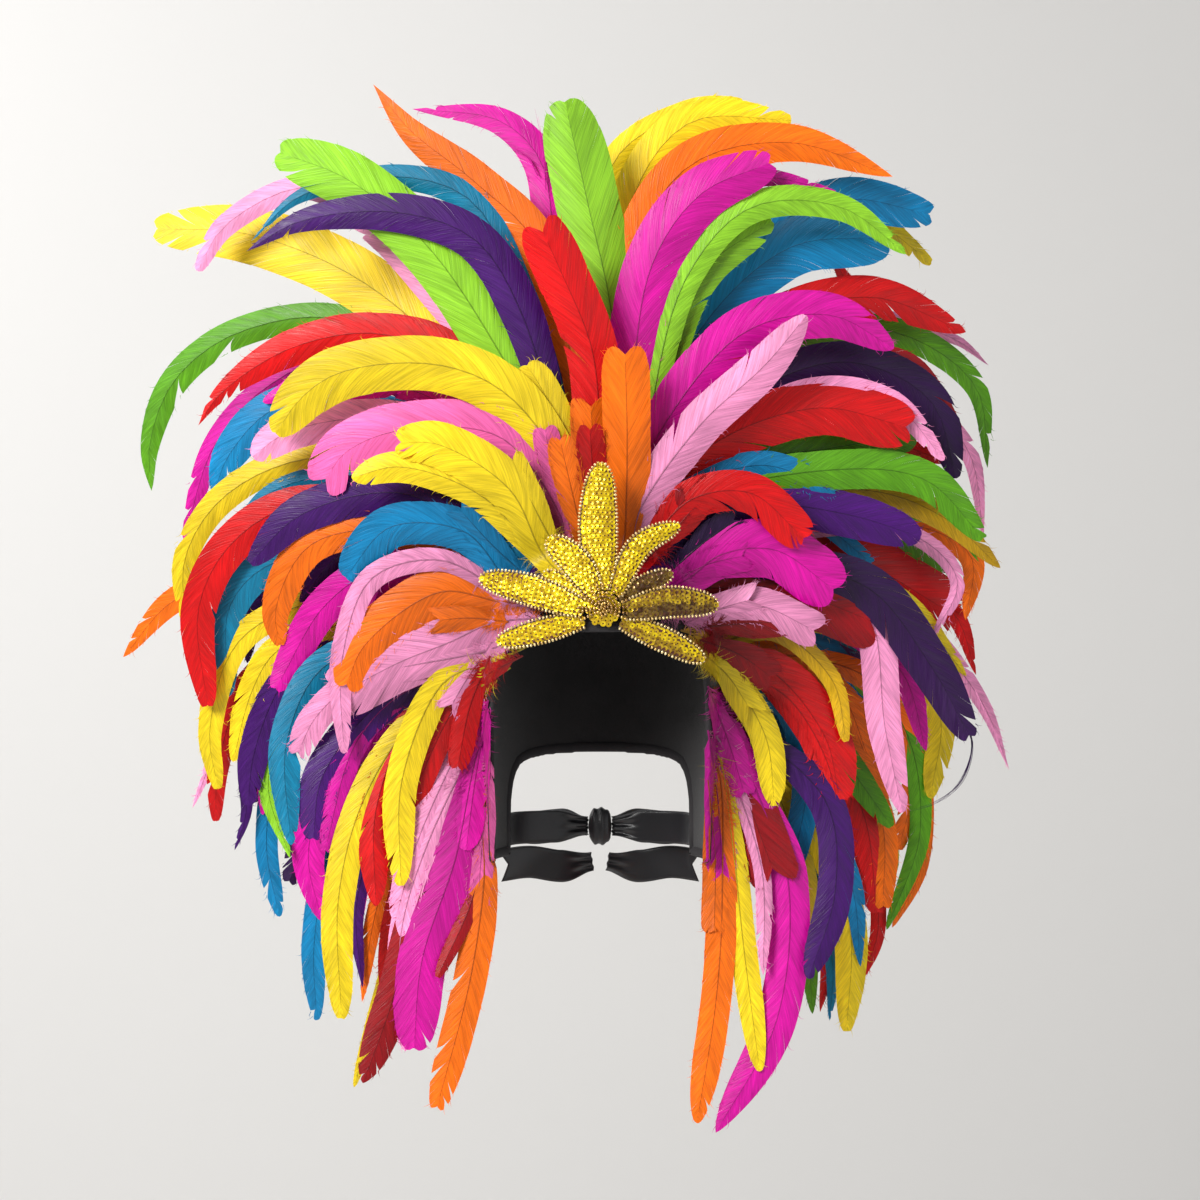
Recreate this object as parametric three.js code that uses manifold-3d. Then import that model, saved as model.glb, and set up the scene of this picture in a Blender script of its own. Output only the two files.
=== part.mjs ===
// A carnival feather headdress: a felt hood edged with dyed cock feathers in rows, a sequinned
// forehead ornament and ribbon ties. Millimetres, +Z up, the face looks along -Y, and the origin is
// the inside top of the hood, where it rests on the crown of the head.

import * as THREE from 'three';
import { mergeVertices } from 'three/addons/utils/BufferGeometryUtils.js';
import Module from 'manifold-3d';

const wasm = await Module();
wasm.setup();

// The head that the hood fits, and the hood's felt.
const HEAD_HALF_WIDTH = 76;
const HEAD_HALF_DEPTH = 95;
const HEAD_CROWN_HEIGHT = 95;
const FELT = 2.2;
const HEM_Z = -217;
const HEM_TAPER = 0.09;
const HOOD_SEGMENTS = 30;
const HOOD_RINGS = 6;
const BEYOND_HOOD = 100;
const HEAD_CENTRE_Z = -HEAD_CROWN_HEIGHT;

// The front view: a chart unit is this wide at the head's own depth, seen from VIEW_DISTANCE.
const CHART_UNIT = 0.65;
const CHART_CENTRE_U = 600;
const CHART_CENTRE_V = 600;
const CHART_CENTRE_Z = -48;
const VIEW_DISTANCE = 2000;
const HEAD_CENTRE_V = CHART_CENTRE_V + (CHART_CENTRE_Z - HEAD_CENTRE_Z) / CHART_UNIT;

// Feather rows: each row is a thin sheet of its own, so that no row crosses another.
const FEATHER_THICKNESS = 1.2;
const QUILL_WIDTH = 3.2;
const VANE_WIDENS = { from: 0.08, to: 0.5 };
const VANE_CLOSES_FROM = 0.72;
const BLUNT_TIP = 0.02;
const STRIP_STEP = 46;
const STRIP_STEPS = { least: 4, most: 7 };
const STAGGERS = [-0.013, 0, 0.013];
const FRONT_ROW_Y = -38;
const ROW_SPREAD = 60;
const DEEPEST = 8;
const LEAN_FRONT = 0.02;
const LEAN_PER_DEPTH = 0.07;
const CREST_TILT = 0.26;
const TILT_LEVEL_Z = -75;
const TILT_ENDS_Z = -240;
const TILT_EASES_Z = -120;
const ARCH_HALF_WIDTH = 60;
const ARCH_TOP_Z = -76;
const ARCH_FOOT_Z = -215;

// The tape that a row is sewn to, along the hood.
const TAPE_WIDTH = 7;
const TAPE_THICKNESS = 1.6;
const TAPE_GAP = 0.45;
const TAPE_STEP_DEG = 8;
const TAPE_OVERHANG_DEG = 2.5;

// The forehead ornament.
const PETAL_THICKNESS = 1.6;
const PETAL_PITCH = 2;
const PETAL_FRONT_Y = -95.8;
const PETAL_LEAN = 0.1;
const PETAL_LEAN_FROM_Z = -70;
const PETAL_BEND_RADIUS = 105;
const PETAL_BASE_SHARE = 0.3;
const PETAL_SWELLS = { from: 0.08, to: 0.94 };
const PETAL_FULLNESS = 0.8;
const PETAL_CLOSES_FROM = 0.7;
const PETAL_STEPS = 8;

// Ribbon ties.
const RIBBON_WIDTH = 22;
const RIBBON_THICKNESS = 1;
const RIBBON_GAP = 0.4;
const TIE_Z = -201;
const BOW_Y = 82;
const KNOT_HALF = { x: 8, y: 5.5, z: 12.5 };

const REGIONS = [
  { name: 'crest', from: 0, to: 30, rows: 6 },
  { name: 'high', from: 30, to: 92, rows: 6 },
  { name: 'low', from: 92, to: 180, rows: 4 },
];
const SHEETS = REGIONS.length * REGIONS[0].rows;

const DYES = {
  red: 0xc80c0c,
  crimson: 0x9c0a12,
  orange: 0xf07808,
  gold: 0xb88c14,
  yellow: 0xe8cc28,
  lime: 0xa8d43c,
  green: 0x7c8818,
  teal: 0x0c6c94,
  blue: 0x0c5c9c,
  purple: 0x4c0c68,
  darkpurple: 0x200824,
  magenta: 0xd80c98,
  rose: 0xdc68a0,
  pink: 0xf4a4c4,
};
const SEQUIN_GOLD = 0xdcc01c;
const BEAD_BRONZE = 0xb07820;
const FELT_BLACK = 0x141214;
const SATIN_BLACK = 0x0c0c0e;

// The feathers: dye, depth from 1 at the front, width in chart units, and the shaft's course in
// the front view from the tip to near its root, as [across, down] in chart units.
const FEATHERS = [
  // crest, left of the middle
  ['orange', 1, 42, [[625, 355], [627, 440], [625, 530]]],
  ['orange', 2, 38, [[591, 407], [595, 480], [600, 545]]],
  ['red', 2.5, 46, [[543, 233], [560, 270], [592, 350], [600, 450]]],
  ['orange', 4, 40, [[373, 84], [410, 130], [475, 182], [540, 250], [590, 480]]],
  ['purple', 3, 38, [[247, 252], [300, 222], [400, 213], [475, 240], [520, 310], [560, 450]]],
  ['purple', 4, 30, [[512, 233], [545, 315], [565, 450]]],
  ['lime', 3.5, 52, [[281, 153], [350, 181], [428, 247], [498, 350], [545, 440]]],
  ['teal', 4, 26, [[252, 242], [300, 197], [400, 177], [470, 200], [520, 290], [565, 440]]],
  ['pink', 4.5, 24, [[197, 270], [225, 225], [310, 187], [375, 232], [430, 292], [535, 430]]],
  ['yellow', 5, 56, [[157, 228], [245, 233], [350, 274], [440, 345], [550, 470]]],
  ['magenta', 5, 36, [[412, 109], [500, 121], [540, 160], [555, 250], [580, 420]]],
  ['lime', 4, 58, [[565, 103], [588, 205], [612, 320], [613, 450]]],
  ['yellow', 2.5, 32, [[527, 365], [545, 395], [578, 480]]],
  ['yellow', 2, 48, [[275, 433], [300, 398], [340, 372], [440, 365], [510, 397], [580, 500]]],
  ['red', 4, 38, [[199, 426], [220, 395], [300, 345], [400, 338], [550, 450]]],
  ['red', 4, 28, [[363, 318], [447, 345], [550, 440]]],
  ['green', 5, 28, [[152, 491], [150, 445], [175, 380], [240, 332], [355, 323], [540, 480]]],
  // left, temple
  ['magenta', 5, 24, [[185, 540], [215, 445], [270, 385], [335, 362], [540, 480]]],
  ['magenta', 4, 22, [[263, 402], [338, 370], [440, 400], [545, 490]]],
  ['blue', 4, 38, [[213, 493], [228, 455], [280, 406], [400, 420], [540, 490]]],
  ['magenta', 3.5, 22, [[330, 397], [400, 387], [475, 425], [550, 490]]],
  ['pink', 3, 34, [[253, 457], [290, 432], [400, 420], [550, 490]]],
  ['rose', 2, 50, [[325, 478], [345, 452], [400, 430], [500, 437], [560, 515]]],
  ['rose', 2, 25, [[545, 430], [552, 465], [567, 515]]],
  ['yellow', 1, 42, [[401, 442], [440, 445], [510, 490], [548, 562]]],
  ['yellow', 1.5, 28, [[352, 478], [400, 467], [480, 495], [545, 562]]],
  ['yellow', 4, 28, [[193, 652], [185, 560], [230, 492], [335, 457], [540, 540]]],
  ['teal', 4, 20, [[240, 518], [268, 494], [325, 478], [530, 540]]],
  ['red', 3, 36, [[207, 705], [198, 610], [230, 545], [300, 505], [540, 560]]],
  ['purple', 2, 38, [[250, 563], [300, 515], [400, 493], [485, 535], [530, 570]]],
  ['orange', 2, 34, [[279, 645], [275, 610], [310, 545], [400, 530], [480, 560]]],
  ['purple', 3, 20, [[300, 602], [350, 550], [490, 570]]],
  ['blue', 1, 38, [[345, 577], [390, 527], [465, 532], [502, 575]]],
  ['blue', 1, 22, [[455, 535], [480, 545], [502, 572]]],
  ['teal', 1.5, 19, [[500, 515], [510, 550], [542, 580]]],
  ['teal', 3, 34, [[228, 697], [230, 605], [280, 560], [470, 570]]],
  ['purple', 4, 22, [[248, 663], [255, 615], [300, 575], [470, 575]]],
  ['pink', 1, 22, [[344, 753], [342, 660], [372, 578], [440, 560], [490, 585]]],
  ['magenta', 2, 34, [[275, 688], [325, 605], [380, 570], [480, 580]]],
  ['orange', 1, 45, [[347, 684], [365, 645], [440, 592], [500, 600]]],
  ['pink', 1, 52, [[350, 688], [400, 662], [450, 642], [502, 628]]],
  ['orange', 6, 26, [[124, 657], [178, 598], [330, 560], [480, 600]]],
  // left, cheek and jaw
  ['yellow', 3.5, 26, [[218, 788], [210, 730], [240, 640], [330, 600], [470, 625]]],
  ['yellow', 3, 28, [[232, 762], [252, 690], [278, 650], [370, 620], [470, 630]]],
  ['purple', 3, 32, [[248, 805], [255, 750], [290, 675], [370, 640], [470, 645]]],
  ['purple', 4, 18, [[235, 850], [246, 815], [250, 740], [330, 650], [465, 650]]],
  ['red', 4, 24, [[215, 821], [218, 765], [250, 680], [340, 630], [465, 645]]],
  ['lime', 3.5, 22, [[290, 858], [268, 780], [310, 690], [470, 660]]],
  ['blue', 4, 22, [[279, 917], [266, 840], [290, 730], [370, 670], [465, 680]]],
  ['teal', 2, 32, [[291, 845], [287, 740], [330, 662], [475, 650]]],
  ['pink', 1, 28, [[298, 752], [315, 718], [360, 680], [480, 650]]],
  ['purple', 2, 36, [[313, 838], [323, 775], [385, 700], [475, 665]]],
  ['magenta', 2.5, 22, [[325, 850], [355, 745], [400, 695], [475, 668]]],
  ['magenta', 3, 34, [[321, 921], [308, 850], [345, 760], [470, 680]]],
  ['orange', 3, 20, [[335, 822], [365, 778], [470, 685]]],
  ['yellow', 2, 30, [[341, 1019], [338, 900], [362, 803], [410, 725], [460, 690]]],
  ['red', 2, 28, [[376, 906], [376, 810], [410, 725], [460, 690]]],
  ['blue', 4, 24, [[316, 1021], [314, 940], [345, 810], [466, 700]]],
  ['red', 3, 20, [[381, 994], [394, 918], [430, 800], [472, 720]]],
  ['crimson', 2.5, 30, [[363, 1083], [391, 1005], [430, 860], [474, 735]]],
  ['pink', 2, 20, [[405, 1052], [400, 940], [425, 850], [476, 740]]],
  ['pink', 2, 26, [[396, 917], [418, 840], [455, 755], [478, 700]]],
  ['yellow', 1, 30, [[401, 885], [402, 780], [442, 684], [472, 668]]],
  ['red', 1, 26, [[408, 807], [450, 715], [478, 680]]],
  ['magenta', 1, 42, [[414, 1048], [422, 960], [455, 860], [478, 745]]],
  ['orange', 1, 28, [[437, 1107], [470, 980], [481, 880], [482, 800]]],
  // crest, right of the middle
  ['yellow', 6, 26, [[743, 103], [690, 112], [612, 165], [615, 400]]],
  ['yellow', 5, 40, [[791, 119], [690, 122], [632, 200], [618, 420]]],
  ['orange', 4, 42, [[893, 176], [790, 142], [690, 165], [635, 250], [622, 420]]],
  ['magenta', 3, 50, [[768, 164], [700, 195], [650, 270], [628, 460]]],
  ['magenta', 3.5, 18, [[837, 190], [750, 180], [680, 270], [640, 400]]],
  ['lime', 3, 28, [[906, 254], [840, 207], [750, 208], [685, 280], [645, 440]]],
  ['lime', 3.5, 36, [[772, 220], [700, 275], [642, 450]]],
  ['blue', 5, 42, [[928, 214], [840, 200], [730, 260], [645, 440]]],
  ['blue', 4, 54, [[875, 238], [790, 248], [700, 330], [640, 470]]],
  ['yellow', 6, 26, [[932, 262], [860, 215], [740, 240], [650, 440]]],
  ['red', 6, 30, [[832, 254], [865, 340], [760, 400], [700, 510]]],
  ['red', 4.5, 42, [[966, 332], [870, 297], [760, 330], [650, 470]]],
  ['green', 5, 28, [[988, 468], [975, 385], [885, 330], [760, 360], [660, 450]]],
  ['magenta', 2, 46, [[894, 348], [830, 315], [740, 335], [640, 470]]],
  ['pink', 1, 38, [[806, 316], [765, 365], [700, 425], [640, 510]]],
  // right, temple
  ['darkpurple', 3, 38, [[957, 478], [930, 400], [850, 362], [760, 388], [660, 480]]],
  ['crimson', 4, 18, [[962, 428], [905, 360], [800, 370], [665, 480]]],
  ['pink', 2.5, 26, [[944, 460], [890, 402], [800, 395], [670, 490]]],
  ['pink', 5, 20, [[984, 540], [965, 445], [880, 390], [680, 480]]],
  ['red', 2, 48, [[905, 427], [820, 408], [720, 440], [645, 505]]],
  ['green', 3, 38, [[912, 434], [830, 448], [750, 460], [655, 500]]],
  ['red', 4, 18, [[945, 462], [880, 440], [780, 440], [670, 500]]],
  ['green', 2.5, 36, [[982, 538], [925, 480], [830, 470], [665, 510]]],
  ['gold', 3, 26, [[1001, 568], [945, 518], [865, 490], [665, 515]]],
  ['blue', 2, 26, [[835, 491], [760, 465], [660, 505]]],
  ['purple', 2, 40, [[921, 537], [850, 515], [760, 505], [680, 530]]],
  ['red', 1, 36, [[803, 538], [750, 493], [690, 500], [650, 545]]],
  ['magenta', 1, 52, [[834, 589], [775, 550], [720, 555], [675, 590]]],
  ['green', 4, 32, [[951, 572], [880, 515], [780, 510], [690, 545]]],
  ['red', 4, 56, [[950, 612], [850, 560], [700, 560]]],
  ['orange', 4, 26, [[965, 620], [970, 555], [880, 520], [700, 560]]],
  ['red', 4.5, 22, [[976, 675], [955, 615], [880, 560], [705, 570]]],
  ['crimson', 2, 56, [[870, 620], [800, 595], [695, 590]]],
  ['pink', 1, 34, [[813, 630], [760, 606], [695, 615]]],
  ['yellow', 3, 22, [[966, 676], [900, 600], [820, 570], [700, 575]]],
  ['darkpurple', 2, 42, [[968, 735], [930, 665], [868, 588], [790, 570], [700, 575]]],
  ['pink', 3, 20, [[1008, 769], [980, 700], [900, 610], [800, 580], [705, 585]]],
  ['pink', 2.5, 34, [[902, 812], [885, 730], [866, 610], [790, 575], [705, 590]]],
  // right, cheek and jaw
  ['yellow', 2, 24, [[846, 741], [832, 680], [775, 632], [718, 640]]],
  ['red', 3, 44, [[840, 800], [828, 735], [770, 670], [718, 655]]],
  ['blue', 4, 28, [[865, 700], [810, 640], [720, 635]]],
  ['orange', 4, 34, [[870, 760], [840, 690], [780, 640], [718, 650]]],
  ['green', 3, 28, [[891, 826], [838, 750], [780, 665], [720, 655]]],
  ['orange', 4, 24, [[900, 850], [914, 770], [870, 680], [722, 645]]],
  ['magenta', 3, 24, [[926, 751], [900, 670], [820, 620], [720, 635]]],
  ['red', 4, 20, [[915, 705], [880, 640], [800, 610], [722, 640]]],
  ['yellow', 4, 28, [[930, 798], [938, 708], [860, 630], [724, 645]]],
  ['green', 4.5, 22, [[886, 929], [920, 830], [900, 720], [820, 660], [724, 665]]],
  ['yellow', 1, 28, [[775, 806], [765, 735], [725, 686], [715, 668]]],
  ['crimson', 2, 44, [[772, 868], [738, 770], [716, 695]]],
  ['magenta', 1.5, 34, [[716, 1134], [777, 1020], [788, 880], [760, 800], [722, 705]]],
  ['blue', 1.5, 26, [[782, 893], [802, 785], [775, 710], [724, 690]]],
  ['blue', 4, 38, [[822, 890], [810, 760], [770, 700], [722, 690]]],
  ['orange', 1, 26, [[697, 1123], [716, 1000], [722, 900], [716, 765]]],
  ['yellow', 1, 22, [[760, 1072], [744, 950], [732, 840], [718, 755]]],
  ['purple', 2, 30, [[808, 978], [835, 890], [825, 800], [722, 710]]],
  ['yellow', 3, 20, [[808, 952], [805, 875], [770, 780], [724, 720]]],
  ['yellow', 3, 30, [[847, 1031], [849, 920], [800, 800], [724, 725]]],
  ['blue', 3, 20, [[860, 966], [850, 880], [790, 770], [724, 715]]],
  ['red', 3, 32, [[877, 912], [862, 810], [790, 700], [724, 680]]],
  ['orange', 3.5, 26, [[883, 905], [880, 815], [810, 710], [724, 685]]],
  ['red', 4.5, 18, [[820, 1012], [828, 950], [790, 830], [724, 740]]],
];

// Plain feathers behind the charted ones fill the back of the fan.
const BACK_FAN = { depth: 6, width: 34, fromDeg: -88, toDeg: 88, count: 14, bendDeg: 12 };
const BACK_FAN_RADII = [190, 270, 335];
const BACK_FAN_DYES = ['magenta', 'yellow', 'blue', 'orange', 'purple', 'lime', 'red', 'pink'];

// The petals of the forehead ornament, from the left brow over the middle to the right brow:
// width in chart units, and the middle line from the tip to the base.
const PETALS = [
  ['petal_left_brow', 22, [[497, 642], [540, 631], [584, 620]]],
  ['petal_left_outer', 28, [[480, 578], [530, 590], [584, 609]]],
  ['petal_left_inner', 20, [[544, 573], [567, 588], [587, 600]]],
  ['petal_left_top', 28, [[548, 539], [575, 562], [595, 593]]],
  ['petal_middle', 35, [[601, 463], [598, 530], [603, 590]]],
  ['petal_right_top', 22, [[679, 525], [640, 546], [615, 594]]],
  ['petal_right_inner', 18, [[672, 573], [645, 585], [620, 601]]],
  ['petal_right_outer', 28, [[718, 605], [670, 602], [623, 611]]],
  ['petal_right_brow', 22, [[704, 660], [665, 640], [621, 621]]],
];
const ORNAMENT_CENTRE = [603, 609];
const ORNAMENT_RADIUS = 11;
const ORNAMENT_STANDS_PROUD = 0.6;
const ORNAMENT_GAP = 0.8;

const degrees = THREE.MathUtils.degToRad;
const { lerp, smoothstep, clamp } = THREE.MathUtils;

// Solids

function signedVolume(positions, index) {
  const corners = [new THREE.Vector3(), new THREE.Vector3(), new THREE.Vector3()];
  let volume = 0;
  for (let i = 0; i < index.length; i += 3) {
    corners.forEach((corner, k) => corner.fromArray(positions, index[i + k] * 3));
    volume += corners[0].dot(corners[1].cross(corners[2])) / 6;
  }
  return volume;
}

function toManifold(geometry) {
  const bare = geometry.clone();
  bare.deleteAttribute('normal');
  bare.deleteAttribute('uv');
  const merged = mergeVertices(bare, 1e-4);
  const positions = merged.attributes.position.array;
  const index = Uint32Array.from(merged.index.array);
  if (signedVolume(positions, index) < 0) {
    for (let i = 0; i < index.length; i += 3) {
      [index[i + 1], index[i + 2]] = [index[i + 2], index[i + 1]];
    }
  }
  return new wasm.Manifold(new wasm.Mesh({ numProp: 3, vertProperties: positions, triVerts: index }));
}

function toGeometry(manifold) {
  const mesh = manifold.getMesh();
  const geometry = new THREE.BufferGeometry();
  geometry.setAttribute('position', new THREE.BufferAttribute(new Float32Array(mesh.vertProperties), 3));
  geometry.setIndex(new THREE.BufferAttribute(new Uint32Array(mesh.triVerts), 1));
  geometry.computeVertexNormals();
  return geometry;
}

// Joins solids, and fills any sealed pocket that two crossing feathers close between them.
function joined(solids) {
  const shells = solids.reduce((all, solid) => all.add(solid)).decompose();
  return shells.filter((shell) => shell.volume() > 0).reduce((all, shell) => all.add(shell));
}

// A section carried along a strip: place turns (section x, section y, share of the length) into a point.
function strip(section, steps, place) {
  const geometry = new THREE.ExtrudeGeometry(section, { depth: 1, steps, bevelEnabled: false });
  const position = geometry.attributes.position;
  for (let i = 0; i < position.count; i += 1) {
    const point = place(position.getX(i), position.getY(i), position.getZ(i));
    position.setXYZ(i, point.x, point.y, point.z);
  }
  return toManifold(geometry);
}

function polygon(corners) {
  return new THREE.Shape(corners.map(([x, y]) => new THREE.Vector2(x, y)));
}

const VANE_SECTION = polygon([[-1, -0.5], [1, -0.5], [0, 0.5]]);
const PETAL_SECTION = polygon([[-1, 0], [1, 0], [0.6, 0.75], [0, 1], [-0.6, 0.75]]);
const FLAT_SECTION = polygon([[-0.5, -0.5], [0.5, -0.5], [0.5, 0.5], [-0.5, 0.5]]);

// Hood

function hoodScale(z) {
  const above = Math.max(0, z - HEAD_CENTRE_Z) / HEAD_CROWN_HEIGHT;
  const below = Math.max(0, HEAD_CENTRE_Z - z) / (HEAD_CENTRE_Z - HEM_Z);
  return Math.sqrt(Math.max(0, 1 - above * above)) * (1 - HEM_TAPER * below);
}

function hoodSolid(wall, bottomZ) {
  const radius = HEAD_HALF_WIDTH + wall;
  const profile = [new THREE.Vector2(0, bottomZ)];
  for (const z of [bottomZ, lerp(bottomZ, HEAD_CENTRE_Z, 0.5)]) {
    profile.push(new THREE.Vector2(radius * hoodScale(z), z));
  }
  for (let i = 0; i < HOOD_RINGS; i += 1) {
    const rise = degrees((90 * i) / HOOD_RINGS);
    const height = (HEAD_CROWN_HEIGHT + wall) * Math.sin(rise);
    profile.push(new THREE.Vector2(radius * Math.cos(rise), HEAD_CENTRE_Z + height));
  }
  profile.push(new THREE.Vector2(0, wall));
  const geometry = new THREE.LatheGeometry(profile, HOOD_SEGMENTS);
  geometry.rotateX(Math.PI / 2);
  geometry.scale(1, (HEAD_HALF_DEPTH + wall) / radius, 1);
  return toManifold(geometry);
}

// The hood seen from the side: brow at the front, cheek pieces down to the jaw, open nape.
function hoodOutline() {
  const outline = new THREE.Shape();
  outline.moveTo(-110, 20);
  outline.lineTo(-110, -66);
  outline.lineTo(-92, -67);
  outline.quadraticCurveTo(-66, -72, -52, -92);
  outline.quadraticCurveTo(-38, -116, -30, -160);
  outline.lineTo(-14, HEM_Z);
  outline.lineTo(46, HEM_Z);
  outline.quadraticCurveTo(46, -172, 62, -158);
  outline.quadraticCurveTo(74, -150, 110, -150);
  outline.lineTo(110, 20);
  return outline;
}

function hood() {
  const options = { depth: 2 * BEYOND_HOOD, bevelEnabled: false, curveSegments: 5 };
  const side = new THREE.ExtrudeGeometry(hoodOutline(), options);
  side.translate(0, 0, -BEYOND_HOOD);
  const toSideView = new THREE.Matrix4().makeBasis(
    new THREE.Vector3(0, 1, 0),
    new THREE.Vector3(0, 0, 1),
    new THREE.Vector3(1, 0, 0),
  );
  side.applyMatrix4(toSideView);
  const shell = hoodSolid(FELT, HEM_Z - 5).subtract(hoodSolid(0, HEM_Z - 10));
  return shell.intersect(toManifold(side));
}

function outsideHood(x, y, z) {
  if (z > FELT || z < HEM_Z) return true;
  const above = Math.max(0, z - HEAD_CENTRE_Z) / (HEAD_CROWN_HEIGHT + FELT);
  const below = Math.max(0, HEAD_CENTRE_Z - z) / (HEAD_CENTRE_Z - HEM_Z);
  const taper = 1 - HEM_TAPER * below;
  const across = x / ((HEAD_HALF_WIDTH + FELT) * taper);
  const along = y / ((HEAD_HALF_DEPTH + FELT) * taper);
  return across * across + along * along + above * above > 1;
}

function hoodFrontY(x, z) {
  const across = x / (HEAD_HALF_WIDTH + FELT);
  const above = (z - HEAD_CENTRE_Z) / (HEAD_CROWN_HEIGHT + FELT);
  return -(HEAD_HALF_DEPTH + FELT) * Math.sqrt(1 - across * across - above * above);
}

// Sheets: how far back each row lies at a point of the front view.

function tiltY(z) {
  if (z >= TILT_EASES_Z) return -CREST_TILT * (z - TILT_LEVEL_Z);
  const run = TILT_EASES_Z - TILT_ENDS_Z;
  const left = Math.max(0, z - TILT_ENDS_Z);
  const start = -CREST_TILT * (TILT_EASES_Z - TILT_LEVEL_Z);
  return start + (CREST_TILT * (run * run - left * left)) / (2 * run);
}

function outsideArch(x, z) {
  const beyond = Math.max(0, z - ARCH_TOP_Z) + Math.max(0, ARCH_FOOT_Z - z);
  return Math.max(0, Math.hypot(x, beyond) - ARCH_HALF_WIDTH);
}

function sheetY(depth, x, z) {
  const start = FRONT_ROW_Y + (ROW_SPREAD * (depth - 1)) / (DEEPEST - 1);
  const lean = LEAN_FRONT + LEAN_PER_DEPTH * (depth - 1);
  return start + tiltY(z) + lean * outsideArch(x, z);
}

function petalY(layer, x, z) {
  const lean = PETAL_LEAN * (z - PETAL_LEAN_FROM_Z);
  return PETAL_FRONT_Y - PETAL_PITCH * layer + lean + (x * x) / (2 * PETAL_BEND_RADIUS);
}

// A chart point in space, on the surface that surfaceY gives.
function fromChart([u, v], surfaceY) {
  const point = new THREE.Vector3();
  for (let i = 0; i < 4; i += 1) {
    const scale = (CHART_UNIT * (VIEW_DISTANCE + point.y)) / VIEW_DISTANCE;
    const x = (u - CHART_CENTRE_U) * scale;
    const z = CHART_CENTRE_Z + (CHART_CENTRE_V - v) * scale;
    point.set(x, surfaceY(x, z), z);
  }
  return point;
}

// Polar places about the head's centre in the front view, with 0 straight up.
function aroundHead(angle, distance) {
  return { x: Math.sin(angle) * distance, z: HEAD_CENTRE_Z + Math.cos(angle) * distance };
}

function seatDistance(angle, depth) {
  for (let distance = 40; distance < 200; distance += 0.25) {
    const { x, z } = aroundHead(angle, distance);
    const y = sheetY(depth, x, z);
    const half = TAPE_THICKNESS / 2;
    if (outsideHood(x, y - half, z) && outsideHood(x, y + half, z)) return distance + TAPE_GAP;
  }
  throw new Error('a row misses the hood');
}

function clearOfHood({ x, z }, depth) {
  const angle = Math.atan2(x, z - HEAD_CENTRE_Z);
  return Math.hypot(x, z - HEAD_CENTRE_Z) > seatDistance(angle, depth) + TAPE_WIDTH * 0.75;
}

function rootAngle(shaft) {
  const [u, v] = shaft.at(-1);
  return Math.atan2(u - CHART_CENTRE_U, HEAD_CENTRE_V - v);
}

// Feathers

// The rounding of a feather's or a petal's tip, as a share of the full width.
function tipClosing(share, from) {
  const part = clamp((share - from) / (1 - from), 0, 1);
  return Math.sqrt(1 - (1 - BLUNT_TIP) * part * part);
}

function vaneHalfWidth(share, width) {
  const opening = smoothstep(share, VANE_WIDENS.from, VANE_WIDENS.to);
  return lerp(QUILL_WIDTH / 2, width / 2, opening) * tipClosing(share, VANE_CLOSES_FROM);
}

function flatCurve(points) {
  return new THREE.CatmullRomCurve3(points, false, 'centripetal');
}

function feather(depth, width, shaft, stagger) {
  const surface = (x, z) => sheetY(depth, x, z) + stagger * outsideArch(x, z);
  const angle = rootAngle(shaft);
  const root = aroundHead(angle, seatDistance(angle, depth) + TAPE_WIDTH * 0.25);
  const placed = shaft.map((point) => fromChart(point, surface));
  const course = placed.filter((point) => clearOfHood(point, depth));
  const points = [new THREE.Vector3(root.x, 0, root.z)];
  for (const point of course.reverse()) points.push(new THREE.Vector3(point.x, 0, point.z));
  const curve = flatCurve(points);
  const wanted = Math.round(curve.getLength() / STRIP_STEP);
  const steps = clamp(wanted, STRIP_STEPS.least, STRIP_STEPS.most);
  return strip(VANE_SECTION, steps, (side, face, share) => {
    const point = curve.getPointAt(share);
    const along = curve.getTangentAt(share);
    const reach = side * vaneHalfWidth(share, width * CHART_UNIT);
    const x = point.x - along.z * reach;
    const z = point.z + along.x * reach;
    return { x, y: surface(x, z) - face * FEATHER_THICKNESS, z };
  });
}

function tape(depth, fromAngle, toAngle) {
  const steps = Math.max(2, Math.ceil((toAngle - fromAngle) / degrees(TAPE_STEP_DEG)));
  return strip(FLAT_SECTION, steps, (side, face, share) => {
    const angle = lerp(fromAngle, toAngle, share);
    const { x, z } = aroundHead(angle, seatDistance(angle, depth) + TAPE_WIDTH * (side + 0.5));
    return { x, y: sheetY(depth, x, z) - face * TAPE_THICKNESS, z };
  });
}

function backFan() {
  const { depth, width, fromDeg, toDeg, count, bendDeg } = BACK_FAN;
  const fan = [];
  for (let i = 0; i < count; i += 1) {
    const angle = degrees(lerp(fromDeg, toDeg, i / (count - 1)));
    const shaft = BACK_FAN_RADII.map((radius, step) => {
      const bent = angle + Math.sign(angle) * degrees(bendDeg) * (step / 2) ** 2;
      return [CHART_CENTRE_U + Math.sin(bent) * radius, HEAD_CENTRE_V - Math.cos(bent) * radius];
    });
    fan.push([BACK_FAN_DYES[i % BACK_FAN_DYES.length], depth, width, shaft.reverse()]);
  }
  return fan;
}

function rowOf(depth, angle) {
  const turned = THREE.MathUtils.radToDeg(Math.abs(angle));
  const region = REGIONS.findIndex(({ to }) => turned <= to);
  const { name, rows } = REGIONS[region];
  const row = Math.min(Math.floor(depth), rows);
  const side = angle < 0 ? 'left_' : 'right_';
  const sheet = (row - 1) * REGIONS.length + region;
  return { name: `${region === 0 ? '' : side}${name}_row_${row}`, sheet };
}

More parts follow.
